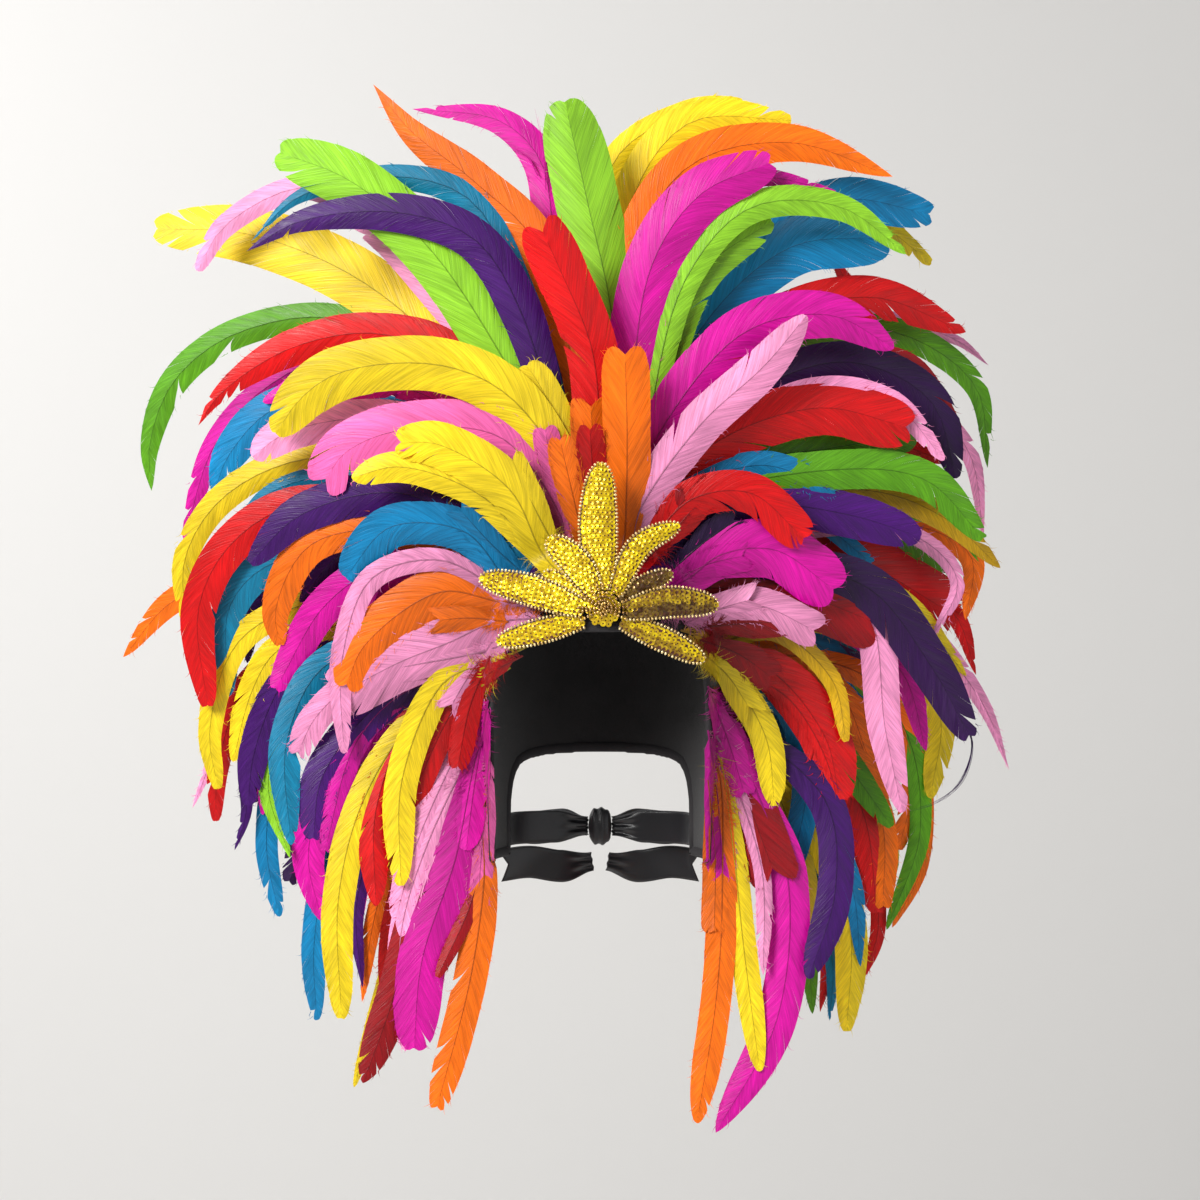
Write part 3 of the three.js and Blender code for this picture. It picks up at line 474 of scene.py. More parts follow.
# The feathers: dye, depth from 1 at the front, width in chart units, and the shaft's course in
# the front view from the tip to near its root, as [across, down] in chart units.
FEATHERS = [
    # crest, left of the middle
    ["orange", 1, 42, [[625, 355], [627, 440], [625, 530]]],
    ["orange", 2, 38, [[591, 407], [595, 480], [600, 545]]],
    ["red", 2.5, 46, [[543, 233], [560, 270], [592, 350], [600, 450]]],
    ["orange", 4, 40, [[373, 84], [410, 130], [475, 182], [540, 250], [590, 480]]],
    ["purple", 3, 38, [[247, 252], [300, 222], [400, 213], [475, 240], [520, 310], [560, 450]]],
    ["purple", 4, 30, [[512, 233], [545, 315], [565, 450]]],
    ["lime", 3.5, 52, [[281, 153], [350, 181], [428, 247], [498, 350], [545, 440]]],
    ["teal", 4, 26, [[252, 242], [300, 197], [400, 177], [470, 200], [520, 290], [565, 440]]],
    ["pink", 4.5, 24, [[197, 270], [225, 225], [310, 187], [375, 232], [430, 292], [535, 430]]],
    ["yellow", 5, 56, [[157, 228], [245, 233], [350, 274], [440, 345], [550, 470]]],
    ["pink", 6, 16, [[465, 245], [490, 290], [540, 420]]],
    ["magenta", 5, 36, [[412, 109], [500, 121], [540, 160], [555, 250], [580, 420]]],
    ["lime", 4, 58, [[565, 103], [588, 205], [612, 320], [613, 450]]],
    ["yellow", 2.5, 32, [[527, 365], [545, 395], [578, 480]]],
    ["yellow", 2, 48, [[275, 433], [300, 398], [340, 372], [440, 365], [510, 397], [580, 500]]],
    ["red", 4, 38, [[199, 426], [220, 395], [300, 345], [400, 338], [550, 450]]],
    ["red", 4, 28, [[363, 318], [447, 345], [550, 440]]],
    ["green", 5, 28, [[152, 491], [150, 445], [175, 380], [240, 332], [355, 323], [540, 480]]],
    # left, temple
    ["magenta", 5, 24, [[185, 540], [215, 445], [270, 385], [335, 362], [540, 480]]],
    ["magenta", 4, 22, [[263, 402], [338, 370], [440, 400], [545, 490]]],
    ["blue", 4, 38, [[213, 493], [228, 455], [280, 406], [400, 420], [540, 490]]],
    ["blue", 4, 14, [[300, 418], [335, 402], [400, 409], [540, 480]]],
    ["magenta", 3.5, 22, [[330, 397], [400, 387], [475, 425], [550, 490]]],
    ["pink", 3, 34, [[253, 457], [290, 432], [400, 420], [550, 490]]],
    ["rose", 2, 50, [[325, 478], [345, 452], [400, 430], [500, 437], [560, 515]]],
    ["rose", 2, 25, [[545, 430], [552, 465], [567, 515]]],
    ["yellow", 1, 42, [[401, 442], [440, 445], [510, 490], [548, 562]]],
    ["yellow", 1.5, 28, [[352, 478], [400, 467], [480, 495], [545, 562]]],
    ["yellow", 4, 28, [[193, 652], [185, 560], [230, 492], [335, 457], [540, 540]]],
    ["teal", 4, 20, [[240, 518], [268, 494], [325, 478], [530, 540]]],
    ["red", 3, 36, [[207, 705], [198, 610], [230, 545], [300, 505], [540, 560]]],
    ["purple", 2, 38, [[250, 563], [300, 515], [400, 493], [485, 535], [530, 570]]],
    ["orange", 2, 34, [[279, 645], [275, 610], [310, 545], [400, 530], [480, 560]]],
    ["purple", 3, 20, [[300, 602], [350, 550], [490, 570]]],
    ["blue", 1, 38, [[345, 577], [390, 527], [465, 532], [502, 575]]],
    ["blue", 1, 22, [[455, 535], [480, 545], [502, 572]]],
    ["teal", 1.5, 19, [[500, 515], [510, 550], [542, 580]]],
    ["teal", 3, 34, [[228, 697], [230, 605], [280, 560], [470, 570]]],
    ["purple", 4, 22, [[248, 663], [255, 615], [300, 575], [470, 575]]],
    ["pink", 1, 22, [[344, 753], [342, 660], [372, 578], [440, 560], [490, 585]]],
    ["magenta", 2, 16, [[372, 608], [388, 582], [480, 575]]],
    ["magenta", 2, 34, [[275, 688], [325, 605], [380, 570], [480, 580]]],
    ["orange", 1, 45, [[347, 684], [365, 645], [440, 592], [500, 600]]],
    ["pink", 1, 52, [[350, 688], [400, 662], [450, 642], [502, 628]]],
    ["orange", 6, 26, [[124, 657], [178, 598], [330, 560], [480, 600]]],
    # left, cheek and jaw
    ["yellow", 3.5, 26, [[218, 788], [210, 730], [240, 640], [330, 600], [470, 625]]],
    ["yellow", 3, 28, [[232, 762], [252, 690], [278, 650], [370, 620], [470, 630]]],
    ["purple", 3, 32, [[248, 805], [255, 750], [290, 675], [370, 640], [470, 645]]],
    ["purple", 4, 18, [[235, 850], [246, 815], [250, 740], [330, 650], [465, 650]]],
    ["red", 4, 24, [[215, 821], [218, 765], [250, 680], [340, 630], [465, 645]]],
    ["pink", 5, 14, [[193, 808], [206, 775], [230, 700], [330, 620], [465, 640]]],
    ["magenta", 4, 14, [[262, 815], [264, 768], [310, 690], [465, 660]]],
    ["lime", 3.5, 22, [[290, 858], [268, 780], [310, 690], [470, 660]]],
    ["blue", 4, 22, [[279, 917], [266, 840], [290, 730], [370, 670], [465, 680]]],
    ["teal", 2, 32, [[291, 845], [287, 740], [330, 662], [475, 650]]],
    ["pink", 1, 28, [[298, 752], [315, 718], [360, 680], [480, 650]]],
    ["purple", 2, 36, [[313, 838], [323, 775], [385, 700], [475, 665]]],
    ["magenta", 2.5, 22, [[325, 850], [355, 745], [400, 695], [475, 668]]],
    ["magenta", 3, 34, [[321, 921], [308, 850], [345, 760], [470, 680]]],
    ["orange", 3, 20, [[335, 822], [365, 778], [470, 685]]],
    ["yellow", 2, 30, [[341, 1019], [338, 900], [362, 803], [410, 725], [460, 690]]],
    ["red", 2, 28, [[376, 906], [376, 810], [410, 725], [460, 690]]],
    ["purple", 3, 16, [[363, 988], [357, 900], [400, 780], [468, 705]]],
    ["orange", 3.5, 16, [[362, 1002], [375, 915], [415, 800], [470, 715]]],
    ["blue", 4, 24, [[316, 1021], [314, 940], [345, 810], [466, 700]]],
    ["red", 3, 20, [[381, 994], [394, 918], [430, 800], [472, 720]]],
    ["yellow", 3, 14, [[354, 1087], [377, 1008], [415, 880], [474, 740]]],
    ["crimson", 2.5, 30, [[363, 1083], [391, 1005], [430, 860], [474, 735]]],
    ["pink", 2, 20, [[405, 1052], [400, 940], [425, 850], [476, 740]]],
    ["pink", 2, 26, [[396, 917], [418, 840], [455, 755], [478, 700]]],
    ["yellow", 1, 30, [[401, 885], [402, 780], [442, 684], [472, 668]]],
    ["red", 1, 26, [[408, 807], [450, 715], [478, 680]]],
    ["crimson", 2, 16, [[470, 800], [465, 740], [476, 705]]],
    ["magenta", 1, 42, [[414, 1048], [422, 960], [455, 860], [478, 745]]],
    ["crimson", 2, 14, [[438, 976], [475, 890], [482, 790]]],
    ["orange", 1, 28, [[437, 1107], [470, 980], [484, 880], [485, 800]]],
    # crest, right of the middle
    ["yellow", 6, 26, [[743, 103], [690, 112], [612, 165], [615, 400]]],
    ["yellow", 5, 40, [[791, 119], [690, 122], [632, 200], [618, 420]]],
    ["orange", 4, 42, [[893, 176], [790, 142], [690, 165], [635, 250], [622, 420]]],
    ["magenta", 3, 50, [[768, 164], [700, 195], [650, 270], [628, 460]]],
    ["magenta", 3.5, 18, [[837, 190], [750, 180], [680, 270], [640, 400]]],
    ["lime", 3, 28, [[906, 254], [840, 207], [750, 208], [685, 280], [645, 440]]],
    ["lime", 3.5, 36, [[772, 220], [700, 275], [642, 450]]],
    ["blue", 5, 42, [[928, 214], [840, 200], [730, 260], [645, 440]]],
    ["blue", 4, 54, [[875, 238], [790, 248], [700, 330], [640, 470]]],
    ["yellow", 6, 26, [[932, 262], [860, 215], [740, 240], [650, 440]]],
    ["red", 6, 30, [[832, 254], [865, 340], [760, 400], [700, 510]]],
    ["red", 4.5, 42, [[966, 332], [870, 297], [760, 330], [650, 470]]],
    ["green", 5, 28, [[988, 468], [975, 385], [885, 330], [760, 360], [660, 450]]],
    ["pink", 6, 16, [[988, 366], [955, 340], [850, 320], [665, 450]]],
    ["magenta", 2, 46, [[894, 348], [830, 315], [740, 335], [640, 470]]],
    ["pink", 1, 38, [[806, 316], [765, 365], [700, 425], [640, 510]]],
    # right, temple
    ["darkpurple", 3, 38, [[957, 478], [930, 400], [850, 362], [760, 388], [660, 480]]],
    ["crimson", 4, 18, [[962, 428], [905, 360], [800, 370], [665, 480]]],
    ["pink", 2.5, 26, [[944, 460], [890, 402], [800, 395], [670, 490]]],
    ["pink", 5, 20, [[984, 540], [965, 445], [880, 390], [680, 480]]],
    ["red", 2, 48, [[905, 427], [820, 408], [720, 440], [645, 505]]],
    ["green", 3, 38, [[912, 434], [830, 448], [750, 460], [655, 500]]],
    ["red", 4, 18, [[945, 462], [880, 440], [780, 440], [670, 500]]],
    ["green", 2.5, 36, [[982, 538], [925, 480], [830, 470], [665, 510]]],
    ["gold", 3, 26, [[1001, 568], [945, 518], [865, 490], [665, 515]]],
    ["green", 3.5, 16, [[980, 562], [955, 530], [860, 500], [680, 520]]],
    ["blue", 2, 26, [[835, 491], [760, 465], [660, 505]]],
    ["purple", 2, 40, [[921, 537], [850, 515], [760, 505], [680, 530]]],
    ["red", 1, 36, [[803, 538], [750, 493], [690, 500], [650, 545]]],
    ["magenta", 1, 52, [[834, 589], [775, 550], [720, 555], [675, 590]]],
    ["blue", 3, 16, [[872, 562], [800, 515], [690, 540]]],
    ["green", 4, 32, [[951, 572], [880, 515], [780, 510], [690, 545]]],
    ["red", 4, 56, [[950, 612], [850, 560], [700, 560]]],
    ["pink", 3, 16, [[932, 637], [957, 580], [900, 530], [700, 555]]],
    ["orange", 4, 26, [[965, 620], [970, 555], [880, 520], [700, 560]]],
    ["red", 4.5, 22, [[976, 675], [955, 615], [880, 560], [705, 570]]],
    ["crimson", 2, 56, [[870, 620], [800, 595], [695, 590]]],
    ["pink", 1, 34, [[813, 630], [760, 606], [695, 615]]],
    ["yellow", 3, 22, [[966, 676], [900, 600], [820, 570], [700, 575]]],
    ["darkpurple", 2, 42, [[968, 735], [930, 665], [868, 588], [790, 570], [700, 575]]],
    ["pink", 3, 20, [[1008, 769], [980, 700], [900, 610], [800, 580], [705, 585]]],
    ["pink", 2.5, 34, [[902, 812], [885, 730], [866, 610], [790, 575], [705, 590]]],
    # right, cheek and jaw
    ["gold", 2, 18, [[846, 741], [832, 680], [775, 632], [718, 640]]],
    ["red", 2.2, 46, [[840, 800], [824, 735], [770, 670], [718, 655]]],
    ["red", 2, 16, [[826, 857], [835, 790], [790, 700], [722, 665]]],
    ["blue", 4, 28, [[865, 700], [810, 640], [720, 635]]],
    ["orange", 4, 34, [[870, 760], [840, 690], [780, 640], [718, 650]]],
    ["green", 3, 28, [[891, 826], [838, 750], [780, 665], [720, 655]]],
    ["orange", 4, 24, [[900, 850], [914, 770], [870, 680], [722, 645]]],
    ["magenta", 3, 24, [[926, 751], [900, 670], [820, 620], [720, 635]]],
    ["red", 4, 20, [[915, 705], [880, 640], [800, 610], [722, 640]]],
    ["yellow", 4, 28, [[930, 798], [938, 708], [860, 630], [724, 645]]],
    ["green", 4.5, 22, [[886, 929], [920, 830], [900, 720], [820, 660], [724, 665]]],
    ["orange", 5, 14, [[893, 928], [924, 860], [915, 740], [830, 660], [724, 660]]],
    ["yellow", 1, 28, [[775, 806], [765, 735], [725, 686], [715, 668]]],
    ["crimson", 2, 44, [[772, 868], [738, 770], [716, 695]]],
    ["magenta", 1.5, 34, [[716, 1134], [777, 1020], [788, 880], [760, 800], [722, 705]]],
    ["blue", 2.6, 26, [[785, 893], [806, 785], [785, 710], [724, 690]]],
    ["blue", 4, 38, [[822, 890], [810, 760], [770, 700], [722, 690]]],
    ["orange", 1, 26, [[697, 1123], [716, 1000], [722, 900], [716, 765]]],
    ["yellow", 1, 22, [[760, 1072], [744, 950], [732, 840], [718, 755]]],
    ["pink", 1, 14, [[763, 975], [762, 872], [738, 790], [720, 740]]],
    ["purple", 2, 30, [[808, 978], [835, 890], [825, 800], [722, 710]]],
    ["yellow", 3, 20, [[808, 952], [805, 875], [770, 780], [724, 720]]],
    ["yellow", 3, 30, [[847, 1031], [849, 920], [800, 800], [724, 725]]],
    ["blue", 3, 20, [[860, 966], [850, 880], [790, 770], [724, 715]]],
    ["red", 3, 32, [[877, 912], [862, 810], [790, 700], [724, 680]]],
    ["orange", 3.5, 26, [[883, 905], [880, 815], [810, 710], [724, 685]]],
    ["yellow", 4, 14, [[880, 915], [892, 850], [830, 730], [724, 695]]],
    ["red", 4, 14, [[858, 985], [878, 925], [850, 800], [724, 720]]],
    ["green", 5, 16, [[812, 1013], [806, 940], [770, 820], [724, 750]]],
    ["red", 4.5, 18, [[820, 1012], [828, 950], [790, 830], [724, 740]]],
    ["blue", 5, 14, [[829, 1020], [832, 960], [800, 840], [724, 745]]],
]

# Feathers under the charted ones that fill the sides below the ears.
FEATHERS += [
    ["darkpurple", 4, 34, [[290, 880], [335, 770], [410, 690], [474, 668]]],
    ["magenta", 4, 34, [[338, 950], [362, 840], [425, 740], [474, 700]]],
    ["crimson", 4, 32, [[392, 985], [408, 890], [445, 790], [474, 730]]],
    ["purple", 4, 30, [[250, 800], [300, 700], [390, 640], [472, 645]]],
    ["darkpurple", 4, 34, [[866, 860], [836, 770], [785, 700], [724, 675]]],
    ["magenta", 4, 34, [[838, 900], [812, 810], [768, 740], [724, 705]]],
    ["orange", 4, 30, [[884, 820], [850, 720], [790, 660], [724, 655]]],
    ["crimson", 4, 32, [[790, 960], [784, 860], [752, 770], [724, 725]]],
]

# Plain feathers behind the charted ones fill the back of the fan.
BACK_FAN_COUNT = 30
BACK_FAN_SPREAD = math.radians(88)
BACK_FAN_BEND = math.radians(12)
BACK_FAN_RADII = (190, 270, 335)
BACK_FAN_DYES = ["magenta", "yellow", "blue", "orange", "purple", "lime", "red", "pink"]
for i in range(BACK_FAN_COUNT):
    angle = BACK_FAN_SPREAD * (2 * i / (BACK_FAN_COUNT - 1) - 1)
    course = []
    for step, radius in enumerate(BACK_FAN_RADII):
        bent = angle + math.copysign(BACK_FAN_BEND, angle) * (step / 2) ** 2
        reach = radius * (1 - 0.12 * (i % 3) * (step > 0))
        course.insert(0, [CHART_CENTRE + math.sin(bent) * reach, HEAD_CENTRE_V - math.cos(bent) * reach])
    FEATHERS.append([BACK_FAN_DYES[i % len(BACK_FAN_DYES)], 6, 34, course])

# Dyes as they look in daylight.
DYES = {
    "red": (0.80, 0.0, 0.02),
    "crimson": (0.62, 0.0, 0.06),
    "orange": (0.97, 0.44, 0.0),
    "gold": (0.82, 0.64, 0.03),
    "yellow": (0.95, 0.83, 0.10),
    "lime": (0.54, 0.78, 0.16),
    "green": (0.34, 0.60, 0.05),
    "teal": (0.0, 0.47, 0.62),
    "blue": (0.0, 0.48, 0.69),
    "purple": (0.25, 0.0, 0.40),
    "darkpurple": (0.16, 0.0, 0.25),
    "magenta": (0.84, 0.0, 0.62),
    "rose": (0.91, 0.38, 0.66),
    "pink": (0.97, 0.60, 0.79),
}


def to_linear(colour):
    return tuple(c / 12.92 if c <= 0.04045 else ((c + 0.055) / 1.055) ** 2.4 for c in colour)


# How far from the root the painted shade on each feather reaches.
ROOT_PAINTED_SHADE_LENGTH = 0.13


# Barbs lie side by side along the vane, so the dye runs in fine slanting streaks, and painted shade darkens
# each feather towards its root.
barbs, n, given, put = make_group(
    "barb_streaks_and_root_painted_shade",
    [("Dye", "NodeSocketColor", (1, 1, 1, 1)), ("Quill shade", "NodeSocketFloat", 0.55)],
    [("Color", "NodeSocketColor"), ("Height", "NodeSocketFloat"), ("Roughness", "NodeSocketFloat")],
)
# Each layer of streaks: how close it runs along, across and from feather to feather, its detail,
# and its darkest and lightest shade.
STREAKS = {
    "fine": ((760, 1.5, 7), 2, 0.76, 1.16),
    "band": ((210, 1.0, 11), 3, 0.82, 1.10),
    "wide": ((22, 0.7, 5), 1, 0.82, 1.10),
}
NOISE_LOW = 0.3
NOISE_HIGH = 0.7
along = n.mark("along")
tone = n.mark("tone")
place = n.add("CombineXYZ", {0: along, 1: n.mark("across"), 2: tone}).outputs[0]
streaks = {}
shades = []
for name, (closeness, detail, dark, light) in STREAKS.items():
    spread = n.add("VectorMath", {0: place, 1: closeness}, operation="MULTIPLY").outputs[0]
    streaks[name] = n.noise(spread, 1, detail)
    shades.append(n.span(streaks[name], dark, light, NOISE_LOW, NOISE_HIGH))
shades.append(n.span(tone, 0.80, 1.08))
# Painted shade: each feather grows darker towards its root, standing in for the shade among the crowded
# roots.
shades.append(n.span(along, 0.62, 1.04, 0, ROOT_PAINTED_SHADE_LENGTH))
shades.append(n.span(n.mark("quill"), 1, given["Quill shade"]))
product = shades[0]
for shade in shades[1:]:
    product = n.times(product, shade)
shaded = n.add("VectorMath", {0: given["Dye"], 3: product}, operation="SCALE").outputs[0]
n.link(shaded, put["Color"])
n.link(streaks["fine"], put["Height"])
n.link(n.span(streaks["band"], 0.34, 0.56, NOISE_LOW, NOISE_HIGH), put["Roughness"])


def feather_material(dye):
    material, nodes, shader = plain_material("feather_" + dye, to_linear(DYES[dye]), 0.5)
    streaked = nodes.add("Group", node_tree=barbs)
    streaked.inputs["Dye"].default_value = (*to_linear(DYES[dye]), 1)
    nodes.link(streaked.outputs["Color"], shader.inputs["Base Color"])
    nodes.link(streaked.outputs["Roughness"], shader.inputs["Roughness"])
    nodes.bump(streaked.outputs["Height"], 0.5, 0.0006, shader)
    shader.inputs["Specular IOR Level"].default_value = 0.3
    shader.inputs["Sheen Weight"].default_value = 0.04
    shader.inputs["Sheen Roughness"].default_value = 0.4
    return material


feather_materials = {dye: feather_material(dye) for dye in DYES}

VANE_ROWS = 56
DOWN_IN_FRONT = 130
DOWN_BEHIND = 24
EDGE_BARBS = 44
VANE_COLUMNS = 6
VANE_START = 0.05
BARB_SLANT = 1.75
QUILL_HALF_WIDTH = 0.0006
QUILL_HEIGHT = 0.0007


def smooth_line(points):
    """A centripetal curve through points, as a fine line."""
    p = np.array(points, float)
    p = np.vstack([2 * p[0] - p[1], p, 2 * p[-1] - p[-2]])
    share = np.linspace(0, 1, 25)[:, None]
    line = [p[1:2]]
    for a, b, c, d in zip(p, p[1:], p[2:], p[3:]):
        before, here, after = (np.linalg.norm(q - r) ** 0.5 for q, r in ((b, a), (c, b), (d, c)))
        leave = ((b - a) / before - (c - a) / (before + here) + (c - b) / here) * here
        arrive = ((c - b) / here - (d - b) / (here + after) + (d - c) / after) * here
        s2, s3 = share ** 2, share ** 3
        part = (2 * s3 - 3 * s2 + 1) * b + (s3 - 2 * s2 + share) * leave + (3 * s2 - 2 * s3) * c
        line.append((part + (s3 - s2) * arrive)[1:])
    return np.vstack(line)


class Course:
    """A smooth line through points of the front view, read by its share of the length."""

    def __init__(self, points):
        self.line = smooth_line(points)
        run = np.concatenate([[0], np.cumsum(np.linalg.norm(np.diff(self.line, axis=0), axis=1))])
        self.length = run[-1]
        self.share = run / run[-1]
        slope = np.gradient(self.line, self.share, axis=0)
        self.slope = slope / np.linalg.norm(slope, axis=1)[:, None]

    def at(self, share):
        """The point and the direction at a share of the length, straight on past the end."""
        held = np.clip(share, 0, 1)
        x, z = (np.interp(held, self.share, self.line[:, k]) for k in (0, 1))
        dx, dz = (np.interp(held, self.share, self.slope[:, k]) for k in (0, 1))
        past = (share - held) * self.length
        return x + dx * past, z + dz * past, dx, dz


def nearer(first, second, blend=0.006):
    """The nearer to the viewer of two depths, with a soft change from one to the other."""
    share = np.clip(0.5 + 0.5 * (second - first) / blend, 0, 1)
    return second * (1 - share) + first * share - blend * share * (1 - share)


ROOT_TARGET = (0.002, -0.054)
CROWN_ROOT_REACH = 0.034
CHEEK_ROOT_REACH = 0.007
FRONT_DEPTH = 2.6
CROWN_FROM = math.radians(100)


def inner_root(angle, root, depth):
    """Where a front feather's quill starts, over the front of the felt from its tape."""
    if abs(angle) > CROWN_FROM:
        return root[0] - math.copysign(CHEEK_ROOT_REACH, angle), root[1] + CHEEK_ROOT_REACH
    toward = Vector((ROOT_TARGET[0] - root[0], ROOT_TARGET[1] - root[1]))
    reach = min(CROWN_ROOT_REACH, toward.length * 0.7) * (1 - 0.2 * (depth - 1))
    return tuple(Vector(root) + toward.normalized() * reach)


# The feathers that end in a long point, by their tips.
POINTED_TIPS = [[373, 84], [247, 252], [252, 242], [199, 426], [412, 109], [1008, 769]]


def add_feather(piece, dye, depth, front, width, shaft, rank, chance, on_felt=False):
    """One feather: two vanes of barbs in clumps, the quill between them, down and loose barbs."""
    material = feather_materials[dye]
    clearance = 0.0022 + 0.0012 * max(0, 3 - front) - 0.0009 * rank

    def surface(x, z):
        sheet = sheet_y(depth, x, z) + rank * (0.0006 + 0.0125 * outside_arch(x, z))
        return nearer(sheet, dome_y(x, z) - clearance) if front < FRONT_DEPTH else sheet

    points = []
    if not on_felt:
        angle = root_angle(shaft)
        root = around_head(angle, seat_distance(angle, depth) + TAPE_WIDTH * 0.25)
        points = [root]
        if front < FRONT_DEPTH:
            points.insert(0, inner_root(angle, root, front))
    for u, v in reversed(shaft):
        x, z = from_chart(u, v, surface)
        turn = math.atan2(x, z - HEAD_CENTRE_Z)
        if on_felt or math.hypot(x, z - HEAD_CENTRE_Z) > seat_distance(turn, depth) + TAPE_WIDTH * 0.75:
            points.append((x, z))
    course = Course(points)
    half = width * CHART_UNIT / 2 * (1.2 if abs(root_angle(shaft)) > CROWN_FROM else 1.1)
    tone = chance.random()
    tip_from = chance.uniform(0.52, 0.78)
    tip_round = chance.uniform(0.50, 0.95)
    if shaft[0] in POINTED_TIPS:
        tip_from, tip_round = 0.5, 1.05
    curl = chance.uniform(-0.006, 0.006)
    twist = math.radians(chance.uniform(-9, 9))

    def reach_at(share):
        opening = 0.42 + 0.58 * smoothstep(share, 0.0, 0.36)
        closing = np.clip((share - tip_from) / (1 - tip_from), 0, 1)
        return half * opening * (1 - closing ** 2.2) ** tip_round

    def lift(x, z, share, out):
        """The depth of a point of the vane, out metres from the shaft on either side."""
        free = np.minimum(1, outside_arch(x, z) / 0.05)
        return surface(x, z) + free * (curl * share ** 2.5 + out * np.tan(twist * share))

    for side in (-1, 1):
        camber = math.tan(math.radians(chance.uniform(7, 15)))
        start = 0
        gap_before = 0.0
        while start < VANE_ROWS:
            near_tip = start > VANE_ROWS * 0.82
            end = min(VANE_ROWS, start + chance.randint(2, 4 if near_tip else 9))
            if VANE_ROWS - end < 2:
                end = VANE_ROWS
            gap_after = chance.uniform(0.3, 1.1) if chance.random() < (0.26 if near_tip else 0.07) else 0.03
            open_from = chance.uniform(0.15, 0.75)
            tilt = chance.uniform(-0.04, 0.05)
            longer = chance.uniform(0.98, 1.015)
            u, rise = piece.grid(VANE_COLUMNS, end - start)
            row = start + (end - start) * rise
            part = np.clip((u - open_from) / (1 - open_from), 0, 1) ** 1.3
            row = row + part * (gap_before * (1 - rise) - gap_after * rise)
            base = VANE_START + (1 - VANE_START) * row / VANE_ROWS
            comb = 1 - 0.008 * (2 * rise - 1) ** 2 * u
            reach = reach_at(base) * u * longer * comb
            share = base + BARB_SLANT * reach / course.length
            x, z, dx, dz = course.at(share)
            x = x - side * dz * reach
            z = z + side * dx * reach
            free = np.minimum(1, outside_arch(x, z) / 0.05)
            y = lift(x, z, base, side * reach) + free * reach * (camber * (0.5 + 0.5 * u) + tilt * u)
            piece.shape(x, y, z, material, side * u, base * course.length, tone)
            start, gap_before = end, gap_after

    u, share = piece.grid(2, 28)
    side = 2 * u - 1
    share = share * 0.97
    out = side * QUILL_HALF_WIDTH * (1.15 - share)
    x, z, dx, dz = course.at(share)
    x = x - dz * out
    z = z + dx * out
    y = lift(x, z, share, out) - QUILL_HEIGHT * (1.1 - share) * (1 - abs(side)) - 0.0001
    piece.shape(x, y, z, material, 0.0, share * course.length, tone, 1.0)

    for _ in range(DOWN_IN_FRONT if front < FRONT_DEPTH else DOWN_BEHIND):
        add_barb(piece, course, lift, material, tone, chance, chance.uniform(0.0, 0.2),
                 chance.uniform(0, 0.003), chance.uniform(0.004, 0.013), chance.uniform(0.4, 1.4), 0.00025)
    for _ in range(EDGE_BARBS):
        base = chance.uniform(0.2, 0.98)
        edge = float(reach_at(np.array(base))) * 0.94
        add_barb(piece, course, lift, material, tone, chance, base, edge,
                 chance.uniform(0.002, 0.0055), chance.uniform(0.2, 0.7), 0.0002)


def add_barb(piece, course, lift, material, tone, chance, base, edge, length, splay, half_width):
    """A loose barb: a fine tapering thread that leaves the vane and curls."""
    side = chance.choice((-1, 1))
    bend = chance.uniform(-0.9, 0.9)
    toward = chance.uniform(-0.15, 0.15)
    share = base + BARB_SLANT * edge / course.length
    x0, z0, dx, dz = (float(value) for value in course.at(np.array(share)))
    x0 = x0 - side * dz * edge
    z0 = z0 + side * dx * edge
    end = math.atan2(dz, dx) + side * splay
    end_x, end_z = x0 + math.cos(end) * length, z0 + math.sin(end) * length
    if not outside_hood(end_x, float(lift(end_x, end_z, base, 0)), end_z):
        return
    u, along = piece.grid(1, 4)
    heading = math.atan2(dz, dx) + side * (splay + bend * along)
    thin = (2 * u - 1) * half_width * (1.05 - along)
    x = x0 + np.cos(heading) * length * along - np.sin(heading) * thin
    z = z0 + np.sin(heading) * length * along + np.cos(heading) * thin
    y = lift(x, z, base, side * edge) + toward * length * along
    piece.shape(x, y, z, material, side * 0.9, base * course.length, tone)


# Short hackles at the roots of the front rows, laid over the felt between the ornament and the
# tapes: dye, width, and the shaft's course from the tip to the root.
HACKLES = [
    ["blue", 26, [[462, 512], [492, 545], [530, 580]]],
    ["yellow", 26, [[512, 462], [538, 515], [562, 560]]],
    ["orange", 28, [[560, 440], [575, 505], [588, 560]]],
    ["red", 26, [[590, 430], [594, 495], [598, 550]]],
    ["magenta", 26, [[652, 450], [635, 505], [618, 555]]],
    ["red", 26, [[708, 492], [676, 528], [645, 562]]],
    ["crimson", 24, [[684, 500], [660, 530], [636, 564]]],
    ["magenta", 28, [[742, 556], [706, 565], [668, 586]]],
    ["pink", 28, [[748, 600], [716, 610], [684, 624]]],
    ["yellow", 26, [[748, 706], [728, 676], [702, 652]]],
    ["magenta", 26, [[744, 792], [728, 740], [708, 686]]],
    ["darkpurple", 28, [[734, 520], [702, 544], [668, 574]]],
    ["crimson", 28, [[776, 622], [738, 624], [700, 628]]],
    ["crimson", 30, [[770, 676], [738, 654], [700, 640]]],
    ["magenta", 26, [[722, 872], [718, 800], [708, 730]]],
    ["orange", 22, [[714, 930], [715, 850], [708, 780]]],
    ["pink", 26, [[452, 588], [482, 600], [520, 612]]],
    ["orange", 24, [[440, 620], [470, 618], [508, 622]]],
    ["pink", 24, [[452, 704], [470, 674], [492, 642]]],
    ["red", 24, [[458, 766], [470, 706], [490, 656]]],
    ["magenta", 26, [[466, 850], [476, 774], [488, 700]]],
    ["rose", 22, [[478, 900], [484, 820], [490, 750]]],
]


